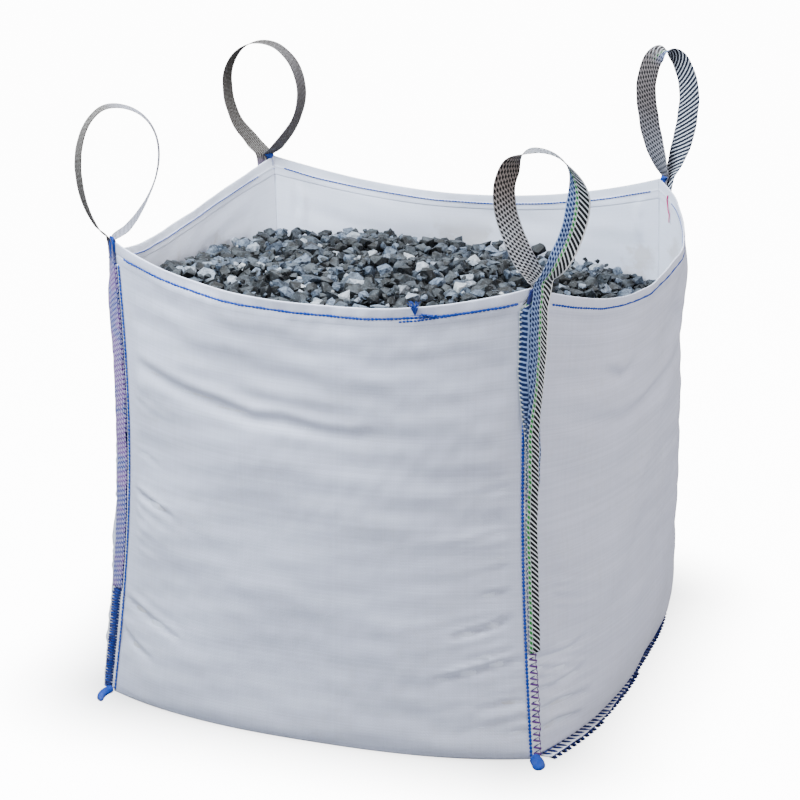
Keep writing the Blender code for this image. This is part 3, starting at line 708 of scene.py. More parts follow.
def loop_line(corner, t):
    """Middle line of a loop and its width direction at shares t from the outer foot to the
    inner one: a drop shape, z = H (1 - cos 2 pi t) / 2, whose legs swing out by sin 2 pi t."""
    height, reach, lean, power, stand, keys = LOOPS[corner]
    point, out, axis = hinge_frame(corner)
    arch = np.sin(math.pi * t)
    swing = np.sin(2 * math.pi * t) * arch ** power
    swing = swing / abs(math.sin(0.6 * math.pi) * math.sin(0.3 * math.pi) ** power)
    swing = swing * smooth((np.minimum(t, 1 - t) - 0.015) / 0.08)
    side = np.where(t < 0.5, reach[0], reach[1]) * swing + lean * arch ** 4
    turned = np.radians(stand) * smooth((np.minimum(t, 1 - t) - 0.05) / 0.15)
    spread = np.cos(turned)[:, None] * out + np.sin(turned)[:, None] * axis
    line = point + spread * side[:, None] + out * ((WEBBING_THICK + GAP) / 2 * np.cos(math.pi * t))[:, None]
    along = axis if axis @ (around(corner, 0.04, 1.0) - around(corner, 0.01, 1.0)) > 0 else -axis
    line = line - along * (0.008 * smooth(t))[:, None]
    line[:, 2] = point[2] + mix(-0.002, height, arch ** 2)
    spans = QUICK_TURNS if keys[-1] else LOOP_TURNS
    turn = sum((keys[i + 1] - keys[i]) * smooth((t - a) / (b - a)) for i, (a, b) in enumerate(spans))
    azimuth = np.radians(math.degrees(math.atan2(axis[1], axis[0])) + keys[0] + turn)
    return line, np.stack([np.cos(azimuth), np.sin(azimuth), 0 * t], -1)


def bend_at_fold(thing, corner):
    """Bakes a piece's placement into its mesh; the fold's point is found but not used."""
    point = hinge_frame(corner)[0]
    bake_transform(thing)


for joint_corner in CORNERS:
    joint = joints["fold_loop_" + joint_corner]
    print(joint_corner, "fold", hinge_frame(joint_corner)[0].round(4), "joint", joint["name"])

# %% [markdown]
# The webbing is a flat ring of points swept along its own middle surface. Near the rim its rows
# are averaged with their neighbours, so that the sewn part runs into the free part without a
# step. A slight belly across the width and a small wander of the edges keep it from looking
# like a printed ribbon.


# %% Four lengths of webbing
def webbing_middle(corner, across):
    """Middle surface of a webbing and the direction its outer face looks, row by row from the
    foot of the outer leg, over the loop, to the end of the inner leg."""
    top = CORNERS[corner][1][2]
    point, out, axis = hinge_frame(corner)
    sign = 1.0 if axis @ (around(corner, 0.04, 1.0) - around(corner, 0.01, 1.0)) > 0 else -1.0
    v = 1 - np.linspace(LEG_DROP, 0.006, 130)[:, None] / top
    drop = (1 - v) * top
    narrow = mix(1.0, 0.62, smooth((drop - 0.10) / 0.22))
    w = 0.0015 + WEBBING_WIDTH * (across + 0.5)[None, :] * narrow
    stand = 0.011 if corner == "front_left" else 0.0
    cup = 0.0035 * (1 - (2 * across[None, :]) ** 2) * smooth((drop - 0.10) / 0.22)
    flare = stand * (across[None, :] + 0.5) ** 1.5 * smooth((drop - 0.02) / 0.1)
    lift = 0.0012 + GAP + flange_lift(w) + end_lift(corner, w, drop) + cup + flare
    leg = around(corner, w, v, lift)
    leg_face = unit(around(corner, w, v, lift + 0.001) - leg)
    t = np.linspace(0.012, 0.988, 190)
    line, width = loop_line(corner, t)
    ahead = unit(np.gradient(line, t, axis=0))
    width = unit(width - (width * ahead).sum(1, keepdims=True) * ahead)
    loop = line[:, None] + sign * width[:, None] * (across * WEBBING_WIDTH)[None, :, None]
    loop_face = np.broadcast_to(-np.cross(ahead, width)[:, None], loop.shape)
    turned = LOOPS[corner][5][-1] == -180
    order = across[::-1] if turned else across
    v = 1 - np.linspace(0.006, END_DROP, 80)[:, None] / top
    tuck = smooth(((1 - v) * top - 0.12) / 0.24)
    w = WEBBING_WIDTH * (order + 0.5)[None, :] * mix(1.0, 0.8, tuck) - END_PEEK[corner] * (1 - tuck)
    lift = 0.0012 + GAP + flange_lift(w)
    end = around(corner, w, v, lift)
    end_face = unit(around(corner, w, v, lift + 0.001) - end) * (1 if turned else -1)
    return np.concatenate([leg, loop, end]), np.concatenate([leg_face, loop_face, end_face]), (130, 320)


def soften(grid, joins, reach, rounds):
    """Rows near the joins averaged with their neighbours, 1-2-1, a number of times."""
    row = np.arange(len(grid))
    near = sum(bump(row - join, reach) for join in joins)[:, None, None].clip(0, 1)
    for _ in range(rounds):
        mean = grid.copy()
        mean[1:-1] = (grid[:-2] + 2 * grid[1:-1] + grid[2:]) / 4
        grid = mix(grid, mean, near)
    return grid


def make_webbing(corner, seed):
    """Closed webbing: outer face, round edge, inner face, round edge."""
    across = np.linspace(-0.5, 0.5, 15)
    middle, face, joins = webbing_middle(corner, across)
    middle, face = soften(middle, joins, 7, 26), unit(soften(face, joins, 7, 26))
    row = np.arange(len(middle))
    gather = 0.52 * bump(row - joins[1] + 2, 6.5)[:, None, None]
    centre = middle.mean(1, keepdims=True)
    middle = middle + (centre - middle) * gather
    middle = middle + face * 0.0022 * gather * np.sin(across * 2 * math.pi * 2.3 + 0.6)[None, :, None]
    necks[corner] = (centre[:, 0], unit(middle[:, -1] - middle[:, 0]), face[:, 7], joins[1])
    step = np.linalg.norm(np.diff(middle[:, 7], axis=0), axis=-1)
    run = np.concatenate([[0], np.cumsum(step)])
    wander = 0.0009 * ripple_noise(run, 0.0, seed, 5, 0.03, 0.10, 0.6)
    sideways = unit(middle[:, -1:] - middle[:, :1])
    middle = middle + sideways * wander[:, None, None]
    free = smooth((run - LEG_DROP) / 0.04) * (1 - smooth((run - run[-1] + END_DROP) / 0.04))
    slow = ripple_noise(run, 0.0, seed + 9, 3, 0.15, 0.4, 0.6)[:, None]
    curl = 0.0016 * free[:, None] * (2 * across) ** 2 * slow
    ply = 0.0011 * (1 - 0.35 * (2 * np.abs(across[None, :])) ** 10)
    top, under = middle + face * (ply + curl)[..., None], middle - face * (ply - curl)[..., None]
    edge = np.concatenate([middle[:, -1:] + sideways * 0.0008, middle[:, :1] - sideways * 0.0008], 1)
    ring = np.concatenate([top, edge[:, :1], under[:, ::-1], edge[:, 1:]], 1)
    rows, columns = ring.shape[:2]
    x = np.concatenate([across, [0.52], across[::-1], [-0.52]]) * WEBBING_WIDTH
    wide = np.linalg.norm(middle[:, -1] - middle[:, 0], axis=-1)
    shown = wide.clip(0, WEBBING_WIDTH)[:, None] / WEBBING_WIDTH
    x = WEBBING_WIDTH / 2 - (WEBBING_WIDTH / 2 - x[None, :]) * shown
    sewn = smooth((row - joins[1]) / 6)[:, None]
    x = mix(x, -0.0135 + 0.35 * x, sewn)          # the inner leg's sewn end shows its blue half
    marks = np.stack(np.broadcast_arrays(x, run[:, None]), -1).reshape(-1, 2)
    marks[:, 0] *= -1 if corner in ("front_left", "back_right") else 1
    side = np.concatenate([np.ones(15), [0.5], np.zeros(15), [0.5]])
    quads = grid_quads(rows, columns, wrap_columns=True)
    body = np.concatenate([quads[:, [0, 1, 2]], quads[:, [0, 2, 3]]])
    j = np.arange(14)
    lid = [np.stack([j, j + 1, 29 - j], -1), np.stack([j, 29 - j, 30 - j], -1), [[14, 15, 16], [30, 31, 0]]]
    lid = np.concatenate(lid)
    points = ring.reshape(-1, 3)
    faces = np.concatenate([body, lid, lid[:, ::-1] + (rows - 1) * columns])
    on_bag = np.maximum(1 - smooth((row - joins[0] + 8) / 12), sewn[:, 0])
    inner_leg = smooth((row - 215) / 30) * (1 - smooth((row - joins[1]) / 6))
    parts = {"outer_face": np.tile(side, rows), "sewn": np.repeat(on_bag, columns),
             "inner_leg": np.repeat(inner_leg, columns)}
    thing = object_from_arrays("webbing_" + corner, points, outwards(points, faces), marks, parts)
    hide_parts("lifting_loop_" + corner, "strap_leg_" + corner, "strap_end_" + corner)
    bend_at_fold(thing, corner)
    print(thing.name, round(float(run[-1]), 3), "m long,", len(faces), "triangles")
    return thing


necks = {}
webbings = {corner: make_webbing(corner, 100 + i) for i, corner in enumerate(CORNERS)}

# %% [markdown]
# ## Overlocked seams
# Where two cloths are sewn together their cut edges stand out as a flap a couple of
# centimetres wide. An overlock machine wraps that edge in thread while its needle runs a line
# of stitches along the root. Each wrap is one small bent tube, copied all along the flap, and
# the root line is a row of chain-stitch links.

# %% Flaps and wraps
def strip(name, top, under):
    """Closed flap between two grids of points with the same rows and columns."""
    columns = top.shape[1]
    ring = np.concatenate([top, under[:, ::-1]], 1)
    rows = len(ring)
    quads = grid_quads(rows, 2 * columns, wrap_columns=True)
    j = np.arange(columns - 1)
    lid = np.stack([j, j + 1, 2 * columns - 2 - j, 2 * columns - 1 - j], -1)
    points = ring.reshape(-1, 3)
    faces = np.concatenate([quads, lid, lid[:, ::-1] + (rows - 1) * 2 * columns])
    thing = object_from_arrays(name, points, outwards(points, faces))
    return thing


def hook_shape(reach, thick, radius, slant, sides=5):
    """Thread that lies over a flap, goes round its edge and comes back under it: along moves
    by slant, across goes out to reach and back, raised falls from the top to the bottom."""
    along = np.array([0.0, 0.5, 1.0, 1.15, 1.0, 0.5]) * slant
    across = np.array([0.0, 0.5, 0.95, 1.06, 0.95, 0.5]) * reach
    raised = np.array([0.2, 1.0, 0.95, 0.5, 0.05, 0.0]) * thick
    path = np.stack([along, across, raised], -1)
    ahead = unit(np.gradient(path, axis=0))
    side = np.array([1.0, 0.0, 0.0])
    up = unit(np.cross(ahead, side))
    side = np.cross(up, ahead)
    turn = np.arange(sides + 1)[:, None] * 2 * math.pi / (sides + 1)
    ring = path[:, None] + radius * (np.cos(turn) * side[:, None] + np.sin(turn) * up[:, None])
    return ring.reshape(-1, 3), tube_quads(len(path), sides + 1)


def link_shape(length, width, height):
    """One chain-stitch link: a bead that is fat at one end and tapers to the other."""
    t = np.linspace(0, 1, 6)
    path = np.stack([(t - 0.5) * length * 1.12, 0 * t, 0 * t], -1)
    body = np.sin(math.pi * np.clip(t * 0.94 + 0.04, 0, 1)) ** 0.6 * (1.1 - 0.45 * t)
    turn = np.arange(6) * 2 * math.pi / 6
    ring = np.stack([0 * turn, np.cos(turn) * width / 2, np.sin(turn) * height / 2], -1)
    return (path[:, None] + body[:, None, None] * ring).reshape(-1, 3), tube_quads(6, 6)


def along_line(line, normal, pitch, seed, jitter=0.12):
    """Evenly spaced places on a line of points, the direction onwards and the normal there."""
    run = np.concatenate([[0], np.cumsum(np.linalg.norm(np.diff(line, axis=0), axis=1))])
    draw = np.random.default_rng(seed)
    count = int(run[-1] / pitch)
    where = (np.arange(count) + 0.5 + draw.uniform(-jitter, jitter, count)) * run[-1] / count
    places = np.stack([np.interp(where, run, line[:, k]) for k in range(3)], -1)
    normals = unit(np.stack([np.interp(where, run, normal[:, k]) for k in range(3)], -1))
    slope = np.gradient(line, run, axis=0)
    ahead = unit(np.stack([np.interp(where, run, slope[:, k]) for k in range(3)], -1))
    return places, ahead, normals, draw


def chain(line, normal, pitch, seed, width=0.0056, height=0.0030):
    """Points and faces of a row of chain-stitch links along a line."""
    places, ahead, normals, draw = along_line(line, normal, pitch, seed, 0.06)
    shape, quads = link_shape(pitch, width, height)
    side = np.cross(normals, ahead)
    ahead = unit(ahead + side * draw.normal(0, 0.05, (len(places), 1)))
    return repeat_shape(shape, quads, places, ahead, normals)


thread_colours = {}


def thread_object(name, parts, colour="blue_thread"):
    """One object made of many small closed threads; its colour is given to it later."""
    points, faces = join_parts(parts)
    thing = object_from_arrays(name, points, outwards(points, faces))
    thread_colours[name] = colour
    print(name, len(faces) * 2, "triangles")
    return thing


shape, quads = link_shape(0.0078, 0.0056, 0.0030)
print("a chain-stitch link:", len(shape), "points,", len(quads), "quads")


# %% Corner seams
def corner_flap(corner, v, seed):
    """Top and bottom of a corner seam's flap: it leaves the seam, lies along the side panel and
    ends in an edge that wanders by a millimetre or two, drawn in by every wrap."""
    wide = 0.0200 if corner == "front_left" else 0.0165
    w = np.linspace(-0.004, wide, 8)[None, :]
    run = (v * CORNERS[corner][1][2])[:, 0]
    wander = 0.0016 * ripple_noise(run, 0.0, seed, 6, 0.02, 0.16, 0.6)
    wander = wander + 0.0004 * np.sin(run * 2 * math.pi / 0.0085)
    w = w + wander[:, None] * np.clip((w + 0.004) / 0.02, 0, 1) ** 2
    crumple = 1 + ripple_noise(run, 0.0, seed + 5, 5, 0.012, 0.05, 0.6)
    lift = 0.0004 + 0.0005 * crumple[:, None] * (w > 0.008)
    puff = 0.0034 if corner == "front_right" else 0.0012
    lift = lift + puff * np.abs(np.sin(run * math.pi / 0.0130))[:, None] * smooth((w - 0.001) / 0.006)
    stand = 0.017 if corner == "front_left" else 0.002
    below = smooth((CORNERS[corner][1][2] - LEG_DROP + 0.01 - run) / 0.03)[:, None]
    lift = lift + stand * below * ((w + 0.004) / 0.0205).clip(0, 1) ** 1.4
    under = around(corner, w, v, lift)
    top = around(corner, w, v, lift + 0.0015 - 0.0007 * smooth((w - 0.011) / 0.006))
    return top, under, w


# Each corner's wraps: how far apart they lie, and the colour, radius and slant of each thread.
PLAIN_WRAPS = (0.0080, (("navy", 0.0017, 0.003), ("violet", 0.0011, -0.005)))
WRAPS = {
    "front_left": (0.0062, (("navy", 0.0027, 0.003), ("blue", 0.0023, -0.004))),
    "front_right": (0.0130, (("violet", 0.0022, 0.005), ("navy", 0.0012, -0.006))),
    "back_right": PLAIN_WRAPS, "back_left": PLAIN_WRAPS,
}
for number, corner in enumerate(CORNERS):
    v = np.linspace(0.0062, 0.955, 300)[:, None]
    top, under, w = corner_flap(corner, v, 200 + number)
    flap = strip("seam_flap_" + corner, top, under)
    root = around(corner, np.full_like(v, -0.0040), v, 0.0016)[:, 0]
    outward = unit(around(corner, np.full_like(v, -0.0040), v, 0.0036)[:, 0] - root)
    wide = 0.0086 if corner.startswith("front") else 0.0062
    row = chain(root, outward, 0.0078, 210 + number, wide, 0.0034)
    stitch = thread_object("seam_stitch_" + corner, [row])
    middle = top[:, 2]
    face = unit(around(corner, w[:, 2:3], v, 0.01)[:, 0] - around(corner, w[:, 2:3], v, 0.0)[:, 0])
    edge = (top[:, -1] + under[:, -1]) / 2
    cord = tube_grid(edge, 0.0012 * (1 + 0.3 * np.sin(np.arange(300) * 1.9)), 6, upright=(1.0, 0.3, 0.0))
    pitch, layers = WRAPS[corner]
    for kind, radius, slant in layers:
        places, ahead, normals, _ = along_line(middle, face, pitch, 220 + number, 0.10)
        outside = unit(top[:, -1] - top[:, 0]).mean(0)
        ahead = ahead if np.cross(normals[0], ahead[0]) @ outside > 0 else -ahead
        across = top[:, -1] - top[:, 0]
        side = unit(np.stack([np.interp(places[:, 2], top[:, 0, 2], across[:, k]) for k in range(3)], -1))
        normals = unit(np.cross(ahead, side))
        reach = 0.0190 if corner == "front_left" else 0.0150
        hook, quads = hook_shape(reach, 0.0030, radius, slant)
        hook = hook - [0, 0.001, 0.0018]
        parts = [repeat_shape(hook, quads, places, ahead, normals)]
        if kind == "violet":
            parts.append((cord.reshape(-1, 3), tube_quads(300, 6)))
        wraps = thread_object("seam_wraps_" + kind + "_" + corner, parts, kind + "_thread")
        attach(wraps, "bag")
        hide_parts("corner_seam_" + corner)
    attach(flap, "bag")
    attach(stitch, "bag")
    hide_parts("corner_seam_" + corner)
    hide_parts("corner_seam_" + corner)

# %% [markdown]
# The two base seams lie flat on the floor under the side panels, with wraps like the black
# keys of a piano. At each base corner the sewing runs on past the cloth, and the tail of
# gathered cloth and thread curls out over the floor like a small ear.

# %% Base seams and ears
def foot_curve(side, u):
    """Foot of a side panel and the level direction out of it."""
    foot = wall_point(side, u, 0.0)
    ahead = unit(np.gradient(foot, axis=0))
    return foot, np.stack([ahead[:, 1], -ahead[:, 0], 0 * u], -1)


for number, side in enumerate(("left", "right")):
    u = np.linspace(-0.962, 0.962, 330)
    foot, out = foot_curve(side, u)
    run = u * HALF_WIDTH
    wander = 0.0012 * ripple_noise(run, 0.0, 240 + number, 6, 0.02, 0.2, 0.6)
    near_front = smooth((0.15 - foot[:, 1]) / 0.55)[:, None] * (side == "right")
    short = 1 - 0.9 * smooth((u - 0.70) / 0.22)[:, None] * (side == "left")
    share = np.linspace(0, 1, 7)
    reach = np.linspace(-0.0006, 0.0185, 7)[None, :] + (wander[:, None] + 0.014 * near_front) * share
    reach = reach * short
    under = foot[:, None] + out[:, None] * reach[..., None] + [0, 0, 0.0002]
    rise = 0.0026 + 0.0008 * ripple_noise(run, 0.0, 250 + number, 6, 0.012, 0.06, 0.6)[:, None] * share
    under[..., 2] += 0.0080 * near_front * share ** 1.5
    top = under + np.stack([0 * rise, 0 * rise, rise.clip(0.0012, 0.004)], -1)
    flap = strip("base_flap_" + side, top, under)
    up = np.tile([0.0, 0.0, 1.0], (len(u), 1))
    places, ahead, normals, _ = along_line(top[:, 1], up, 0.0165, 260 + number, 0.08)
    ahead = ahead if np.cross(normals[0], ahead[0]) @ out[0] > 0 else -ahead
    order = slice(None, None, -1) if side == "left" else slice(None)      # from front to back
    keep = np.interp(places[:, 1], foot[order, 1], short[order, 0]) > 0.6
    places, ahead, normals = places[keep], ahead[keep], normals[keep]
    edge = tube_grid((top[:, -1] + under[:, -1]) / 2, 0.0014, 6)
    parts = [(edge.reshape(-1, 3), tube_quads(330, 6))]
    for low, high, long in ((-1.0, -0.25, 0.0300), (-0.25, 0.0, 0.0250), (0.0, 1.0, 0.0200)):
        mine = (places[:, 1] >= low) & (places[:, 1] < high)
        hook, quads = hook_shape(long if side == "right" else 0.0200, 0.0052, 0.0032, 0.0006)
        hook = (hook - [0, 0, 0.0006]) * [1, 1, 0.8]
        parts.append(repeat_shape(hook, quads, places[mine] - [0, 0, 0.0002], ahead[mine], normals[mine]))
    wraps = thread_object("base_wraps_" + side, parts, "navy_thread")
    line = foot + out * 0.0030 + [0, 0, 0.0030]
    stitch = thread_object("base_stitch_" + side, [chain(line, up, 0.0080, 270 + number)])
    for thing in (flap, wraps, stitch):
        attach(thing, "bag")
        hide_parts("base_seam_" + side)


def make_ear(corner):
    """A tongue that curls away from the corner, domed across, ribbed by its wraps: half width
    = W sqrt(1 - (|t - 0.45| / 0.556)^3), height = dome times 1 + 0.10 sin(wraps)."""
    (sx, sy), _, _ = CORNERS[corner]
    t = np.linspace(0.0, 0.995, 72)
    stubby = corner == "front_right"
    turn = math.atan2(sy, sx) + (0.30 if stubby else 0.75) * t * sx * sy
    length = 0.0006 + (0.050 if stubby else 0.056) * t
    centre = seam_point(corner, 0.0) + np.array([sx, sy, 0.0]) * 0.0012
    path = centre + np.stack([np.cos(turn) * length, np.sin(turn) * length, 0 * t], -1)
    side = np.stack([-np.sin(turn), np.cos(turn), 0 * t], -1)
    rib = 1 + 0.10 * np.sin(t * 2 * math.pi * 14)
    blunt = np.sqrt(np.clip(1 - (np.abs(t - 0.45) / 0.556) ** 3, 0.02, 1))
    half = (0.0130 if stubby else 0.0098) * blunt * np.clip(t * 7 + 0.35, 0, 1) * rib
    dome = 0.0135 * np.clip(t * 5 + 0.5, 0, 1) * (1 - 0.45 * t) * rib
    a = np.linspace(0, 2 * math.pi, 15)[:-1]
    across, height = np.cos(a), np.where(np.sin(a) > 0, np.sin(a), 0.12 * np.sin(a))
    ring = path[:, None] + side[:, None] * (half[:, None] * across)[..., None]
    ring[..., 2] += 0.0010 + dome[:, None] * np.maximum(height, -0.05)
    points = ring.reshape(-1, 3)
    thing = object_from_arrays("seam_ear_tail_" + corner, points, outwards(points, tube_quads(len(t), 14)))
    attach(thing, "bag")
    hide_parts("seam_ear_" + corner)
    return thing


ears = [make_ear(corner) for corner in CORNERS]
print("ears:", [ear.name for ear in ears])

# %% [markdown]
# ## Hem stitches, tacks and loose ends
# A double-thread chain stitch holds the hem all round the bag. It shows as a row of blue links
# outside and a second one inside. At the foot of each loop a bar of thick blue thread ties the
# webbing to the rim, and where the sewer stopped and started on the front wall the thread ends
# were never trimmed.

# %% Hem stitches
for number, wall in enumerate(WALLS):
    reach = 0.90 if wall in ("left", "right") else 0.955
    u = np.linspace(-reach, reach, 420)
    v = np.full_like(u, 1 - 0.023 / HEIGHT)
    wander = 0.0010 * ripple_noise(u * HALF_WIDTH, 0.0, 300 + number, 5, 0.05, 0.30, 0.6) / HEIGHT
    line = cloth_point(wall, u, v + wander, 0.0002)
    normal = wall_normal(wall, u, v)
    under = cloth_point(wall, u, v + wander) - normal * (HEM_THICK + 0.0010)
    wide = 0.0070 if wall == "front" else 0.0056
    parts = [chain(line, normal, 0.0076, 310 + number, wide)]
    parts.append(chain(under, -normal, 0.0076, 320 + number, 0.0036, 0.0018))
    if wall == "front":
        part = (u > 0.45) & (u < 0.80)
        fall = 0.0075 * smooth((0.80 - u[part]) / 0.35)
        second = cloth_point(wall, u[part], v[part] - fall / HEIGHT, 0.0002)
        parts.append(chain(second, normal[part], 0.0072, 330))
    row = thread_object("hem_chain_" + wall, parts)
    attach(row, "bag")
    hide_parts("hem_stitch_" + wall)


# %% Loose ends
def wisps(root, rise, side, out, count, length, spread, radius, seed):
    """Thin fibres that fan out from one point: each rises, leans sideways and curls."""
    draw = np.random.default_rng(seed)
    t = np.linspace(0, 1, 9)[None, :, None]
    lean = draw.normal(0, spread, (count, 1, 1))
    forward = np.abs(draw.normal(0, spread, (count, 1, 1)))
    tall = length * draw.uniform(0.5, 1.0, (count, 1, 1))
    curl = draw.normal(0, 0.25, (count, 1, 1)) * np.sin(t * draw.uniform(3, 7, (count, 1, 1)))
    path = (np.asarray(root) + rise * tall * t + side * tall * (lean * t ** 1.5 + curl * t * 0.5)
            + out * (0.0012 + tall * forward * t ** 1.3 * 0.5))
    ring = tube_grid(path, radius * (1 - 0.6 * t[..., 0]), 6, upright=tuple(out))
    quads = tube_quads(9, 6)
    offsets = (np.arange(count) * 54)[:, None, None]
    return ring.reshape(-1, 3), (quads[None] + offsets).reshape(-1, 4)


def loose_end(name, wall, s, h, count, length, spread, radius, seed, way=1.0):
    """A tuft of wisps on a wall at (s, h), standing up where way is 1 and hanging where -1."""
    u, v = s / HALF_WIDTH, h / HEIGHT
    root = cloth_point(wall, u, v)
    out = wall_normal(wall, u, v)
    side = unit(np.cross([0.0, 0.0, 1.0], out))
    fibres = wisps(root, way * np.cross(out, side), side, out, count, length, spread, radius, seed)
    tuft = thread_object(name, [fibres])
    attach(tuft, "bag")
    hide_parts("hem_stitch_" + wall)
    return tuft


loose_end("thread_end_tall", "front", 0.240, 0.955, 46, 0.030, 0.28, 0.0009, 340)
loose_end("thread_end_low", "front", 0.262, 0.952, 30, 0.020, 0.7, 0.0009, 341, 0.25)
loose_end("thread_end_back", "back", 0.250, 0.945, 12, 0.020, 0.4, 0.0005, 342, -1.0)


# %% Corner tacks
def make_tack(corner, seed):
    """Thick thread wound round the gathered inner leg and over the rim: a flattened bar along
    the webbing's middle line, half width tapering down, its skin ridged by the turns."""
    centre, across, face, join = necks[corner]
    rows = np.arange(join - 7, join + 6)
    t = np.linspace(0, 1, 150)
    pick = np.linspace(0, len(rows) - 1, 150)

    def along(values):
        return np.stack([np.interp(pick, np.arange(len(rows)), values[rows][:, k]) for k in range(3)], -1)

    slim = 0.62 if corner == "front_right" else 1.0
    toward = 1 if LOOPS[corner][5][-1] == -180 else -1
    line = along(centre) + along(across) * (0.0065 * toward * smooth(t * 2))[:, None]
    side, out = unit(along(across)), unit(along(face))
    end = np.clip(np.minimum(t, 1 - t) * 14 + 0.12, 0, 1) ** 0.5
    turns = np.abs(np.sin(t * math.pi * 19 + 0.8 * np.sin(t * 9)))
    half = slim * mix(0.0140, 0.0085, t) * end * (0.90 + 0.10 * turns)
    thick = slim * mix(0.0085, 0.0055, t) * end * (0.82 + 0.18 * turns)
    a = np.arange(20) * 2 * math.pi / 20
    lean = 0.0010 * np.sin(a * 2 + 0.5) + 0.0006 * np.sin(a * 3 + seed)
    ring = (line[:, None] + side[:, None] * (half[:, None] * np.cos(a))[..., None]
            + out[:, None] * (thick[:, None] * np.sin(a))[..., None] + [0, 0, 1] * lean[None, :, None])
    colour = "navy_thread" if corner == "front_right" else "blue_thread"
    bar = (ring.reshape(-1, 3), tube_quads(150, 20))
    thread = thread_object("tack_thread_" + corner, [bar], colour)
    bend_at_fold(thread, corner)
    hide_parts("corner_tack_" + corner)


for number, corner in enumerate(CORNERS):
    make_tack(corner, 350 + number)

# %% The pink marker thread
t = np.linspace(0, 1, 60)
v = mix(0.986, 0.925, t)
u = 0.93 + 0.006 * np.sin(t * 6.0) - 0.012 * t
normal = wall_normal("right", u, v)
line = cloth_point("right", u, v) - normal * (HEM_THICK + 0.0012 + 0.0008 * np.sin(t * 9.0)[:, None] ** 2)
ring = tube_grid(line, 0.0017 * (1 - 0.35 * t), 6, upright=(1.0, 0.0, 0.0))
loose = (ring.reshape(-1, 3), tube_quads(60, 6))
marker = thread_object("marker_thread_loose", [loose], "pink_thread")
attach(marker, "bag")
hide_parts("marker_thread")

# %% [markdown]
# ## Slate chippings
# The load is crushed slate: flat-sided, sharp-edged stones of 20 to 40 mm. Twelve rough lumps
# are made by taking random points in a squashed ball and stretching a skin over them, which
# gives the flat facets of broken stone. Copies of them, turned and scaled at random, are
# spread over the mound and pushed apart until they lie side by side, in two layers.

# %% The heap under the top layer
FILL_HEIGHT, FILL_MOUND, FILL_FLOOR, FILL_INSET = 0.822, 0.030, 0.0046, 0.0068


def wall_at_height(wall, u, z):
    """Share v at which a wall passes height z, by halving steps."""
    low, high = np.zeros_like(u), np.ones_like(u)
    for _ in range(24):
        half = (low + high) / 2
        below = wall_point(wall, u, half)[..., 2] < z
        low, high = np.where(below, half, low), np.where(below, high, half)
    return (low + high) / 2


def fill_ring(z, inset):
    """Outline of the chippings at height z, an inset inside the four walls."""
    points = []
    for wall in WALLS:
        u = np.sin(np.linspace(-1, 1, 25) * 1.3) / math.sin(1.3) * 0.968
        v = wall_at_height(wall, u, z)
        normal = unit(wall_normal(wall, u, v) * [1, 1, 0])
        points.append(wall_point(wall, u, v) - normal * inset)
    ring = np.concatenate(points)
    ring[:, 2] = z
    return ring


def mound_height(x, y):
    """Height of the heap's top: a low mound with a few broad hollows."""
    r = np.clip(np.maximum(np.abs(x), np.abs(y)) / 0.53, 0, 1)
    hollows = 0.007 * ripple_noise(x, y, 400, 6, 0.18, 0.50, 0.6)
    fall = 0.034 * smooth((y + 0.15) / 0.55) + 0.040 * smooth((x - 0.10) / 0.38) * smooth((y + 0.5) / 0.8)
    return FILL_HEIGHT - 0.006 + FILL_MOUND * (1 - r ** 2) + hollows - fall


turn = np.linspace(0, math.pi / 2, 9)
levels = [FILL_FLOOR + 0.12 * (1 - np.cos(turn)), np.linspace(0.14, FILL_HEIGHT - 0.02, 12)]
levels = np.concatenate(levels)
rings = [fill_ring(z, FILL_INSET + 0.006) for z in levels]
for share in (0.96, 0.9, 0.8, 0.68, 0.54, 0.4, 0.26, 0.12):
    ring = rings[len(levels) - 1] * share
    ring[:, 2] = mound_height(ring[:, 0], ring[:, 1]) - 0.020
    rings.append(ring)
for share in (0.05, 0.5, 0.8):
    ring = rings[0] * share
    ring[:, 2] = FILL_FLOOR
    rings.insert(0 if share == 0.05 else [0.05, 0.5, 0.8].index(share), ring)
points = np.concatenate(rings)
points[:, 2] = np.minimum(points[:, 2], mound_height(points[:, 0], points[:, 1]) - 0.030)
around_count = len(rings[0])
quads = grid_quads(len(rings), around_count, wrap_columns=True)
triangles = np.concatenate([quads[:, [0, 1, 2]], quads[:, [0, 2, 3]]])
ends = np.array([[0.0, 0.0, FILL_FLOOR], [0.0, 0.0, float(mound_height(0.0, 0.0)) - 0.030]])
j = np.arange(around_count)
k = (j + 1) % around_count
last = (len(rings) - 1) * around_count
low_fan = np.stack([j, k, np.full_like(j, len(points))], -1)
high_fan = np.stack([k + last, j + last, np.full_like(j, len(points) + 1)], -1)
points = np.concatenate([points, ends])
faces = np.concatenate([triangles, low_fan, high_fan])
dark = {"tone": np.full(len(points), 0.15)}
bed = object_from_arrays("chippings_bed", points, outwards(points, faces), None, dark, smooth=False)
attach(bed, "bag")
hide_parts("gravel_bed")
print("heap", len(faces), "triangles")


# %% Stone templates
def broken_stone(seed):
    """Convex lump through random points of a squashed ball: about 24 flat triangles."""
    draw = np.random.default_rng(seed)
    points = unit(draw.normal(0, 1, (15, 3))) * draw.uniform(0.82, 1.0, (15, 1))
    points = points * [1.0, draw.uniform(0.66, 0.90), draw.uniform(0.46, 0.74)]
    mesh = bmesh.new()
    for point in points:
        mesh.verts.new(point)
    bmesh.ops.convex_hull(mesh, input=list(mesh.verts))
    loose = [vert for vert in mesh.verts if not vert.link_faces]
    bmesh.ops.delete(mesh, geom=loose, context="VERTS")
    mesh.verts.index_update()
    corners = np.array([vert.co[:] for vert in mesh.verts])
    faces = np.array([[vert.index for vert in face.verts] for face in mesh.faces])
    mesh.free()
    return corners, outwards(corners, faces)


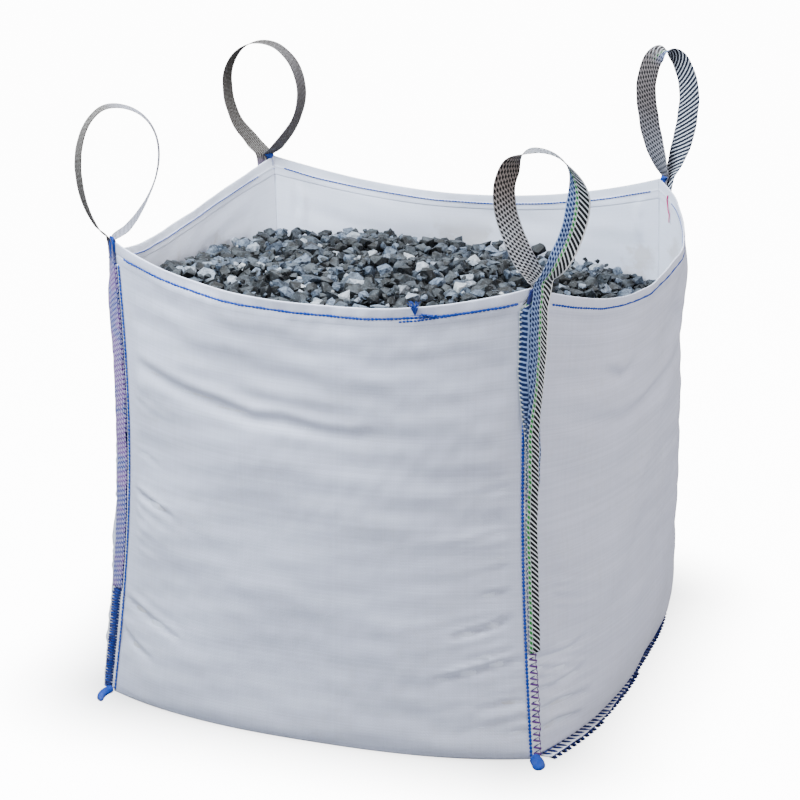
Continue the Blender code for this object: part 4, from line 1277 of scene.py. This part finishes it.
templates = [broken_stone(500 + i) for i in range(16)]
print("faces on a stone:", [len(faces) for _, faces in templates])


# %% Spread the stones
def push_apart(places, radii, rounds):
    """Points of a square pushed away from each neighbour closer than the sum of their radii."""
    for _ in range(rounds):
        gap = places[:, None] - places[None]
        distance = np.sqrt((gap ** 2).sum(-1)) + np.eye(len(places)) * 9
        need = (radii[:, None] + radii[None]) * 0.86
        push = np.clip(need - distance, 0, None) / distance
        places = places + (gap * push[..., None]).sum(1) * 0.36
        edge = 0.462 - radii[:, None] * 1.35
        places = np.clip(places, -edge, edge)
    return places


def plan_point(a, b):
    """Place inside the walls for a and b from -1 to 1: a patch between four curves at the
    height of the heap's edge."""
    u = np.linspace(-1, 1, 201)
    curves = {}
    for wall in WALLS:
        flat = wall_point(wall, u, wall_at_height(wall, u, FILL_HEIGHT))
        curves[wall] = flat - unit(wall_normal(wall, u, 0.85) * [1, 1, 0]) * 0.007

    def on(wall, place):
        return np.stack([np.interp(place, u, curves[wall][:, k]) for k in range(2)], -1)

    across, along = ((a + 1) / 2)[:, None], ((b + 1) / 2)[:, None]
    total = mix(on("front", a), on("back", -a), along) + mix(on("left", -b), on("right", b), across)
    one, two = on("front", np.array([-1.0, 1.0])), on("back", np.array([1.0, -1.0]))
    return total - mix(mix(one[0], one[1], across), mix(two[0], two[1], across), along)


def random_turns(draw, count, tilt):
    """Rotation matrices: any turn about Z, then a tilt of some radians about a level line."""
    a = draw.uniform(0, 2 * math.pi, count)
    b = draw.normal(0, tilt, count)
    c = draw.uniform(0, 2 * math.pi, count)
    zero, one = np.zeros(count), np.ones(count)
    spin = [np.cos(a), -np.sin(a), zero, np.sin(a), np.cos(a), zero, zero, zero, one]
    spin = np.stack(spin, -1).reshape(-1, 3, 3)
    cross = [zero, zero, np.sin(c), zero, zero, -np.cos(c), -np.sin(c), np.cos(c), zero]
    cross = np.stack(cross, -1).reshape(-1, 3, 3)
    tilted = np.eye(3) + np.sin(b)[:, None, None] * cross + (1 - np.cos(b))[:, None, None] * (cross @ cross)
    return tilted @ spin


def spread_layer(name, count, sizes, lift, tilt, seed):
    """A layer of stones on the mound, of the given sizes and lift above its formula."""
    draw = np.random.default_rng(seed)
    radii = draw.uniform(sizes[0], sizes[1], count) / 2
    square = push_apart(draw.uniform(-0.45, 0.45, (count, 2)), radii * 0.86, 40)
    plan = plan_point(square[:, 0] / 0.462, square[:, 1] / 0.462)
    height = mound_height(plan[:, 0], plan[:, 1]) + lift + draw.normal(0, 0.0035, count)
    turns = random_turns(draw, count, tilt)
    scale = radii[:, None] * draw.uniform(0.85, 1.15, (count, 3))
    tone = draw.uniform(0, 1, count)
    kind = draw.integers(0, len(templates), count)
    parts, tones = [], []
    for i, (corners, faces) in enumerate(templates):
        mine = kind == i
        lumps = corners[None] * scale[mine][:, None]
        lumps = np.einsum("nij,nkj->nki", turns[mine], lumps)
        lumps = lumps + np.concatenate([plan[mine], height[mine][:, None]], 1)[:, None]
        offsets = (np.arange(mine.sum()) * len(corners))[:, None, None]
        parts.append((lumps.reshape(-1, 3), (faces[None] + offsets).reshape(-1, 3)))
        tones.append(np.repeat(tone[mine], len(corners)))
    points, faces = join_parts(parts)
    thing = object_from_arrays(name, points, faces, None, {"tone": np.concatenate(tones)}, smooth=False)
    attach(thing, "bag")
    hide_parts("gravel_bed")
    print(name, count, "stones,", len(faces), "triangles, top", round(float(points[:, 2].max()), 3))
    return thing


spread_layer("chippings_lower", 900, (0.030, 0.050), -0.020, 0.5, 510)
spread_layer("chippings_upper", 800, (0.030, 0.056), -0.002, 0.40, 511)
spread_layer("chippings_small", 600, (0.014, 0.026), 0.004, 0.6, 512)

# %% [markdown]
# ## Finishes
# Weaves and thread are finer than any mesh here, so they are drawn by shaders. Each effect
# that several finishes share is a node group: the flat tapes of the woven cloth, the ribs and
# stripes of the webbing, and the pale dust that stones leave on everything.


# %% Node helpers
def add_node(tree, kind, inputs=None, **settings):
    """A node of some kind with its settings; inputs are numbers, colours or sockets."""
    node = tree.nodes.new(kind)
    for key, value in settings.items():
        setattr(node, key, value)
    for key, value in (inputs or {}).items():
        if isinstance(value, bpy.types.NodeSocket):
            tree.links.new(value, node.inputs[key])
        else:
            node.inputs[key].default_value = value
    return node


def calc(tree, operation, *values, clamp=False):
    """Output of a math node."""
    node = add_node(tree, "ShaderNodeMath", dict(enumerate(values)), operation=operation)
    node.use_clamp = clamp
    return node.outputs[0]


def fade(tree, value, low, high, to_low=0.0, to_high=1.0):
    """Smooth change from to_low to to_high as value goes from low to high."""
    inputs = {"Value": value, "From Min": low, "From Max": high, "To Min": to_low, "To Max": to_high}
    return add_node(tree, "ShaderNodeMapRange", inputs, interpolation_type="SMOOTHSTEP").outputs["Result"]


def tint(tree, factor, first, second, kind="MIX"):
    """Colour between first and second."""
    node = tree.nodes.new("ShaderNodeMix")
    node.data_type = "RGBA"
    node.blend_type = kind
    for index, value in ((0, factor), (6, first), (7, second)):
        if isinstance(value, bpy.types.NodeSocket):
            tree.links.new(value, node.inputs[index])
        else:
            node.inputs[index].default_value = value if index == 0 else (*value, 1.0)
    return node.outputs[2]


def noise(tree, vector, scale, detail=2.0, roughness=0.5, dimensions="3D"):
    """Value of a noise texture."""
    inputs = {"Vector": vector, "Scale": scale, "Detail": detail, "Roughness": roughness}
    return add_node(tree, "ShaderNodeTexNoise", inputs, noise_dimensions=dimensions).outputs["Fac"]


def random_of(tree, value):
    """A random number from 0 to 1 that depends on one number."""
    return add_node(tree, "ShaderNodeTexWhiteNoise", {"W": value}, noise_dimensions="1D").outputs["Value"]


def new_group(name, inputs, outputs):
    """Empty shader node group: inputs are (name, kind, value), outputs (name, kind)."""
    group = bpy.data.node_groups.new(name, "ShaderNodeTree")
    for key, kind, value in inputs:
        socket = group.interface.new_socket(name=key, in_out="INPUT", socket_type="NodeSocket" + kind)
        if value is not None:
            socket.default_value = value
    for key, kind in outputs:
        group.interface.new_socket(name=key, in_out="OUTPUT", socket_type="NodeSocket" + kind)
    return group, group.nodes.new("NodeGroupInput").outputs, group.nodes.new("NodeGroupOutput").inputs


def use_group(tree, group, inputs):
    """Outputs of a group used in a material."""
    node = tree.nodes.new("ShaderNodeGroup")
    node.node_tree = group
    for key, value in inputs.items():
        if isinstance(value, bpy.types.NodeSocket):
            tree.links.new(value, node.inputs[key])
        else:
            node.inputs[key].default_value = value
    return node.outputs


def new_material(name, roughness, specular=0.4):
    """Material with its tree, its shader and its texture coordinates."""
    material = bpy.data.materials.new(name)
    material.use_nodes = True
    tree = material.node_tree
    shader = tree.nodes["Principled BSDF"]
    shader.inputs["Roughness"].default_value = roughness
    shader.inputs["Specular IOR Level"].default_value = specular
    return material, tree, shader, tree.nodes.new("ShaderNodeTexCoord").outputs


def attribute(tree, name):
    """A number stored on the mesh."""
    return add_node(tree, "ShaderNodeAttribute", attribute_name=name).outputs["Fac"]


def coordinate(tree, vector, axis):
    """One coordinate of a vector."""
    return add_node(tree, "ShaderNodeSeparateXYZ", {"Vector": vector}).outputs[axis]


def bump_to(tree, shader, height, distance, strength=1.0):
    """Connects a height to a shader's normal."""
    node = add_node(tree, "ShaderNodeBump", {"Height": height, "Distance": distance, "Strength": strength})
    tree.links.new(node.outputs["Normal"], shader.inputs["Normal"])


print("node helpers ready,", len(bpy.data.materials), "materials so far")


# %% Group: the flat tapes of a woven cloth
tape_weave, inside, result = new_group(
    "tape_weave",
    [("UV", "Vector", None), ("Tape width", "Float", 0.0026), ("Unevenness", "Float", 1.0)],
    [("Height", "Float"), ("Level line", "Float"), ("Upright line", "Float"), ("Row tone", "Float")])
parts = add_node(tape_weave, "ShaderNodeSeparateXYZ", {"Vector": inside["UV"]}).outputs
column = calc(tape_weave, "DIVIDE", parts["X"], inside["Tape width"])
row = calc(tape_weave, "DIVIDE", parts["Y"], inside["Tape width"])
row_share = calc(tape_weave, "FRACT", row)
column_share = calc(tape_weave, "FRACT", column)
row_edge = calc(tape_weave, "ABSOLUTE", calc(tape_weave, "SUBTRACT", row_share, 0.5))
column_edge = calc(tape_weave, "ABSOLUTE", calc(tape_weave, "SUBTRACT", column_share, 0.5))
# the gaps between tapes: they dip in height, and the cloth darkens them as painted shade
level = fade(tape_weave, row_edge, 0.30, 0.50)
upright = fade(tape_weave, column_edge, 0.34, 0.50)
turns = calc(tape_weave, "ADD", calc(tape_weave, "FLOOR", row), calc(tape_weave, "FLOOR", column))
over = calc(tape_weave, "PINGPONG", turns, 1.0)
edge = calc(tape_weave, "MAXIMUM", level, calc(tape_weave, "MULTIPLY", upright, 0.7))
hill = calc(tape_weave, "SUBTRACT", 1.0, edge)
height = calc(tape_weave, "MULTIPLY_ADD", over, 0.35, calc(tape_weave, "MULTIPLY", hill, 0.65))
row_tone = random_of(tape_weave, calc(tape_weave, "FLOOR", row))
column_number = calc(tape_weave, "FLOOR", column)
column_tone = random_of(tape_weave, calc(tape_weave, "MULTIPLY_ADD", column_number, 1.7, 33.3))
tone = calc(tape_weave, "MULTIPLY_ADD", column_tone, 0.35, calc(tape_weave, "MULTIPLY", row_tone, 0.65))
tone = calc(tape_weave, "MULTIPLY", calc(tape_weave, "SUBTRACT", tone, 0.5), inside["Unevenness"])
shown = {"Height": height, "Level line": level, "Upright line": upright, "Row tone": tone}
for key, value in shown.items():
    tape_weave.links.new(value, result[key])
print("group", tape_weave.name)

# %% Group: dust from the stones
stone_dust, inside, result = new_group(
    "stone_dust",
    [("Position", "Vector", None), ("Amount", "Float", 0.5), ("Low edge", "Float", 0.0),
     ("Rise", "Float", 0.10)],
    [("Mask", "Float"), ("Cloud", "Float")])
height = coordinate(stone_dust, inside["Position"], "Z")
cloud = noise(stone_dust, inside["Position"], 7.0, 5.0, 0.6)
fine = noise(stone_dust, inside["Position"], 60.0, 4.0, 0.65)
near = calc(stone_dust, "DIVIDE", calc(stone_dust, "SUBTRACT", height, inside["Low edge"]), inside["Rise"])
near = fade(stone_dust, near, 1.0, 0.0)
patch = calc(stone_dust, "MULTIPLY", fade(stone_dust, cloud, 0.38, 0.68), fade(stone_dust, fine, 0.30, 0.75))
mask = calc(stone_dust, "MULTIPLY_ADD", near, 0.8, patch)
mask = calc(stone_dust, "MULTIPLY", mask, inside["Amount"], clamp=True)
stone_dust.links.new(mask, result["Mask"])
stone_dust.links.new(cloud, result["Cloud"])
print("group", stone_dust.name)

# %% Woven cloth
cloth, tree, shader, at = new_material("woven_cloth", 0.52, 0.35)
weave = use_group(tree, tape_weave, {"UV": at["UV"], "Tape width": 0.0031, "Unevenness": 1.0})
dust = use_group(tree, stone_dust, {"Position": at["Object"], "Amount": 0.35, "Rise": 0.22})
within = attribute(tree, "inside")
drop = attribute(tree, "rim_distance")
row_share = calc(tree, "MULTIPLY_ADD", weave["Row tone"], 0.9, 0.5)
colour = tint(tree, row_share, (0.60, 0.630, 0.775), (0.70, 0.730, 0.890))
# painted shade: the gaps between the level tapes are drawn darker, and faintly the gaps between the upright
# tapes
colour = tint(tree, calc(tree, "MULTIPLY", weave["Level line"], 0.16), colour, (0.45, 0.46, 0.55))
colour = tint(tree, calc(tree, "MULTIPLY", weave["Upright line"], 0.04), colour, (0.48, 0.49, 0.57))
colour = tint(tree, calc(tree, "MULTIPLY", dust["Mask"], 0.45), colour, (0.47, 0.455, 0.43))
band = calc(tree, "MULTIPLY", fade(tree, drop, 0.05, 0.13), fade(tree, dust["Cloud"], 0.52, 0.62))
beige = calc(tree, "MULTIPLY", calc(tree, "MULTIPLY", band, within), 0.55)
colour = tint(tree, beige, colour, (0.42, 0.37, 0.30))
inside_paling = calc(tree, "MULTIPLY", calc(tree, "SUBTRACT", within, beige), 0.6)
colour = tint(tree, inside_paling, colour, (0.80, 0.85, 0.98))      # paler and bluer on the inside
tree.links.new(colour, shader.inputs["Base Color"])
shader.inputs["Sheen Weight"].default_value = 0.12
shader.inputs["Sheen Roughness"].default_value = 0.4
crinkle = noise(tree, at["Object"], 130.0, 3.0, 0.6)
bump_to(tree, shader, calc(tree, "MULTIPLY_ADD", crinkle, 0.5, weave["Height"]), 0.00035, 0.55)
wrap_cloth.data.materials.append(cloth)
for thing in side_cloths.values():
    thing.data.materials.append(cloth)
print("material", cloth.name, len(tree.nodes), "nodes")

# %% Group: the pattern of the webbing
webbing_pattern, inside, result = new_group(
    "webbing_pattern",
    [("UV", "Vector", None), ("Stripe pitch", "Float", 0.0100), ("Slope", "Float", 0.90)],
    [("Stripe", "Float"), ("Dash", "Float"), ("Rib", "Float"), ("Pick", "Float"), ("Across", "Float")])
parts = add_node(webbing_pattern, "ShaderNodeSeparateXYZ", {"Vector": inside["UV"]}).outputs


def saw(tree, value, pitch):
    """Distance from the middle of each pitch, from 0 to 0.5."""
    share = calc(tree, "FRACT", calc(tree, "DIVIDE", value, pitch))
    return calc(tree, "ABSOLUTE", calc(tree, "SUBTRACT", share, 0.5))


slanted = calc(webbing_pattern, "MULTIPLY_ADD", parts["X"], inside["Slope"], parts["Y"])
stripe = fade(webbing_pattern, saw(webbing_pattern, slanted, inside["Stripe pitch"]), 0.20, 0.12)
column = calc(webbing_pattern, "FLOOR", calc(webbing_pattern, "DIVIDE", parts["X"], 0.0056))
offset = calc(webbing_pattern, "MULTIPLY_ADD", column, 0.0034, slanted)
rib = saw(webbing_pattern, parts["X"], 0.0056)
dash = fade(webbing_pattern, saw(webbing_pattern, offset, 0.0104), 0.36, 0.28)
dash = calc(webbing_pattern, "MULTIPLY", dash, fade(webbing_pattern, rib, 0.45, 0.36))
pick = saw(webbing_pattern, parts["Y"], 0.0024)
across = calc(webbing_pattern, "DIVIDE", parts["X"], WEBBING_WIDTH)
shown = {"Stripe": stripe, "Dash": dash, "Rib": rib, "Pick": pick, "Across": across}
for key, value in shown.items():
    webbing_pattern.links.new(value, result[key])
print("group", webbing_pattern.name)


# %% Webbing
def webbing_relief(tree, shader, weave):
    """Lengthwise ribs and crosswise picks, raised a little."""
    ribs = fade(tree, weave["Rib"], 0.5, 0.1)
    relief = calc(tree, "ADD", ribs, calc(tree, "MULTIPLY", weave["Pick"], 1.2))
    bump_to(tree, shader, relief, 0.0006, 0.8)


def webbing_material(name, ground, brown):
    """Black webbing with white diagonal stripes and a green tracer; the inner leg is painted lighter,
    a white ground with dark dashes for the light and sheen on it, and browned by handling towards its crown."""
    material, tree, shader, at = new_material(name, 0.7, 0.12)
    weave = use_group(tree, webbing_pattern, {"UV": at["UV"]})
    across = weave["Across"]
    dark = tint(tree, fade(tree, across, -0.06, -0.16), (0.006, 0.008, 0.011), (0.008, 0.020, 0.085))
    fine = tint(tree, weave["Dash"], (0.26, 0.36, 0.62), dark)
    bold = tint(tree, weave["Stripe"], dark, (0.78, 0.81, 0.86))
    front = tint(tree, fade(tree, across, -0.17, -0.13), fine, bold)
    centre = fade(tree, calc(tree, "ABSOLUTE", calc(tree, "ADD", across, 0.06)), 0.075, 0.055)
    tracer = tint(tree, weave["Dash"], (0.55, 0.62, 0.60), (0.02, 0.20, 0.04))
    front = tint(tree, centre, front, tracer)
    front = tint(tree, fade(tree, across, 0.445, 0.465), front, (0.80, 0.81, 0.83))
    # painted light: the inner leg's ground colour stands for the light it catches, lit on one loop and
    # shaded on another
    pale = tint(tree, weave["Dash"], ground, (0.02, 0.022, 0.028))
    cloud = noise(tree, at["Object"], 9.0, 3.0)
    crown = fade(tree, coordinate(tree, at["Object"], "Z"), 1.03, 1.17)
    handled = calc(tree, "MAXIMUM", calc(tree, "MULTIPLY", fade(tree, cloud, 0.40, 0.60), 0.5),
                   calc(tree, "MULTIPLY", crown, 0.8))
    pale = tint(tree, handled, pale, brown, "MULTIPLY")
    colour = tint(tree, attribute(tree, "inner_leg"), front, pale)
    under = tint(tree, weave["Stripe"], (0.012, 0.016, 0.030), (0.70, 0.74, 0.82))
    under = tint(tree, calc(tree, "MULTIPLY", attribute(tree, "inner_leg"), 0.8), under, pale)
    colour = tint(tree, attribute(tree, "outer_face"), under, colour)
    tree.links.new(colour, shader.inputs["Base Color"])
    webbing_relief(tree, shader, weave)
    print("material", name, len(tree.nodes), "nodes")
    return material


# the same striped webbing twice: painted lit on the front right loop and painted shaded on the back right
# loop
lit_webbing = webbing_material("webbing_striped", (0.62, 0.64, 0.70), (0.34, 0.24, 0.17))
shaded_webbing = webbing_material("webbing_striped_shaded", (0.26, 0.26, 0.30), (0.50, 0.40, 0.32))


# %% Worn webbing of the two left loops
worn, tree, shader, at = new_material("webbing_worn", 0.75, 0.12)
weave = use_group(tree, webbing_pattern, {"UV": at["UV"]})
line = fade(tree, weave["Rib"], 0.36, 0.46)
loop = tint(tree, calc(tree, "MULTIPLY", line, 0.75), (0.030, 0.025, 0.022), (0.36, 0.34, 0.32))
bare = calc(tree, "SUBTRACT", 1.0, weave["Dash"])
loop = tint(tree, calc(tree, "MULTIPLY", bare, 0.18), loop, (0.30, 0.29, 0.29))
plain = tint(tree, calc(tree, "MULTIPLY", weave["Dash"], 0.55), (0.34, 0.34, 0.40), (0.07, 0.07, 0.09))
rear = fade(tree, coordinate(tree, at["Object"], "Y"), -0.1, 0.1)
plain = tint(tree, calc(tree, "MULTIPLY", rear, 0.85), plain, loop)
loop = tint(tree, attribute(tree, "inner_leg"), loop, plain)
violet = fade(tree, noise(tree, at["Object"], 22.0, 3.0), 0.42, 0.58)
sewn = tint(tree, calc(tree, "MULTIPLY", violet, 0.8), (0.018, 0.028, 0.22), (0.17, 0.045, 0.25))
sewn = tint(tree, calc(tree, "MULTIPLY", weave["Dash"], 0.5), sewn, (0.72, 0.70, 0.92))
loop = tint(tree, attribute(tree, "sewn"), loop, sewn)
tree.links.new(loop, shader.inputs["Base Color"])
webbing_relief(tree, shader, weave)
for corner, thing in webbings.items():
    thing.data.materials.append({"front_right": lit_webbing, "back_right": shaded_webbing}.get(corner, worn))
print("material", worn.name, len(tree.nodes), "nodes")


# %% Threads and seam flaps
def thread_material(name, colour, dark, sheen=0.05):
    """Twisted thread: a colour with painted shade between the strands, faded a little in places."""
    material, tree, shader, at = new_material(name, 0.6, 0.15)
    strand = add_node(tree, "ShaderNodeTexWave", {"Vector": at["Object"], "Scale": 420.0, "Distortion": 3.0,
                                                  "Detail": 1.0}, bands_direction="DIAGONAL").outputs["Fac"]
    worn = fade(tree, noise(tree, at["Object"], 40.0, 3.0), 0.40, 0.75)
    # painted shade: the colour goes towards dark in the grooves between the strands
    mixed = tint(tree, calc(tree, "MULTIPLY", strand, 0.8), dark, colour)
    mixed = tint(tree, calc(tree, "MULTIPLY", worn, 0.07), mixed, (0.50, 0.58, 0.75))
    tree.links.new(mixed, shader.inputs["Base Color"])
    shader.inputs["Sheen Weight"].default_value = sheen
    bump_to(tree, shader, strand, 0.0003, 0.6)
    return material


threads = {
    "blue_thread": thread_material("blue_thread", (0.012, 0.085, 0.52), (0.004, 0.022, 0.20)),
    "navy_thread": thread_material("navy_thread", (0.012, 0.026, 0.190), (0.004, 0.006, 0.060)),
    "violet_thread": thread_material("violet_thread", (0.16, 0.045, 0.26), (0.05, 0.012, 0.11)),
    "pink_thread": thread_material("pink_thread", (0.82, 0.09, 0.30), (0.45, 0.03, 0.13)),
}
flap_cloth, tree, shader, at = new_material("seam_flap_cloth", 0.6, 0.3)
shade = noise(tree, at["Object"], 90.0, 4.0, 0.6)
dust = use_group(tree, stone_dust, {"Position": at["Object"], "Amount": 0.6, "Rise": 0.30})
colour = tint(tree, fade(tree, shade, 0.35, 0.65), (0.70, 0.71, 0.79), (0.93, 0.94, 0.98))
colour = tint(tree, calc(tree, "MULTIPLY", dust["Mask"], 0.25), colour, (0.44, 0.42, 0.39))
tree.links.new(colour, shader.inputs["Base Color"])
bump_to(tree, shader, shade, 0.0008, 0.7)
for thing in bpy.data.objects:
    if thing.name.startswith(("seam_flap_", "base_flap_")):
        thing.data.materials.append(flap_cloth)
for ear in ears:
    ear.data.materials.append(threads["blue_thread"])
for name, colour in thread_colours.items():
    bpy.data.objects[name].data.materials.append(threads[colour])
print("threads:", {key: list(thread_colours.values()).count(key) for key in threads})

# %% Broken slate
slate, tree, shader, at = new_material("broken_slate", 0.62, 0.4)
tone = attribute(tree, "tone")
ramp = add_node(tree, "ShaderNodeValToRGB", {"Fac": tone})
ramp.color_ramp.interpolation = "LINEAR"
stops = ((0.0, (0.003, 0.004, 0.005)), (0.42, (0.007, 0.009, 0.012)), (0.62, (0.020, 0.027, 0.036)),
         (0.78, (0.065, 0.087, 0.122)), (0.91, (0.175, 0.215, 0.280)), (1.0, (0.48, 0.50, 0.52)))
ramp.color_ramp.elements[0].color = (*stops[0][1], 1.0)
ramp.color_ramp.elements[1].color = (*stops[-1][1], 1.0)
for place, value in stops[1:-1]:
    ramp.color_ramp.elements.new(place).color = (*value, 1.0)
grain = noise(tree, at["Object"], 140.0, 6.0, 0.7)
patches = noise(tree, at["Object"], 38.0, 3.0, 0.6)
speck = fade(tree, noise(tree, at["Object"], 260.0, 3.0, 0.7), 0.58, 0.68)
colour = tint(tree, calc(tree, "MULTIPLY", speck, 0.35), ramp.outputs["Color"], (0.30, 0.34, 0.38))
colour = tint(tree, fade(tree, grain, 0.62, 0.35), colour, (0.010, 0.013, 0.017), "SOFT_LIGHT")
facing = coordinate(tree, at["Normal"], "Z")
powder = calc(tree, "MULTIPLY", fade(tree, patches, 0.42, 0.66), fade(tree, facing, 0.1, 0.9))
colour = tint(tree, calc(tree, "MULTIPLY", powder, 0.20), colour, (0.20, 0.24, 0.28))
tree.links.new(colour, shader.inputs["Base Color"])
bump_to(tree, shader, grain, 0.0016, 0.7)
for thing in bpy.data.objects:
    if thing.name.startswith("chippings_"):
        thing.data.materials.append(slate)
print("material", slate.name, len(tree.nodes), "nodes")

# %% [markdown]
# ## The floor
# A pale floor that glows for the camera, with a soft contact shadow painted round the bag. It is part of the
# stage and not of the bag.

# %% Floor
points = np.array([[-14.0, -14.0, 0.0], [14.0, -14.0, 0.0], [14.0, 22.0, 0.0], [-14.0, 22.0, 0.0]])
floor = object_from_arrays("floor", points, np.array([[0, 1, 2, 3]]))
paper, tree, shader, at = new_material("floor_paper", 0.9, 0.1)
shader.inputs["Base Color"].default_value = (0.30, 0.305, 0.32, 1.0)
shader.inputs["Emission Color"].default_value = (1.0, 1.0, 1.0, 1.0)
seen = tree.nodes.new("ShaderNodeLightPath").outputs["Is Camera Ray"]


def vector_calc(tree, operation, *values):
    """Node for vector math."""
    return add_node(tree, "ShaderNodeVectorMath", dict(enumerate(values)), operation=operation)


place = vector_calc(tree, "ABSOLUTE", at["Object"]).outputs["Vector"]
place = vector_calc(tree, "SUBTRACT", place, (0.40, 0.40, 0.0)).outputs["Vector"]
place = vector_calc(tree, "MAXIMUM", place, (0.0, 0.0, 0.0)).outputs["Vector"]
away = vector_calc(tree, "LENGTH", place).outputs["Value"]
# painted contact shadow: the floor's glow, seen only by the camera, is turned down near the bag
glow_with_painted_shadow = fade(tree, away, 0.02, 0.42, 1.2, 13.0)           # the floor darkens under the bag
tree.links.new(calc(tree, "MULTIPLY", seen, glow_with_painted_shadow), shader.inputs["Emission Strength"])
floor.data.materials.append(paper)
print("floor", [round(c, 1) for c in floor.dimensions])
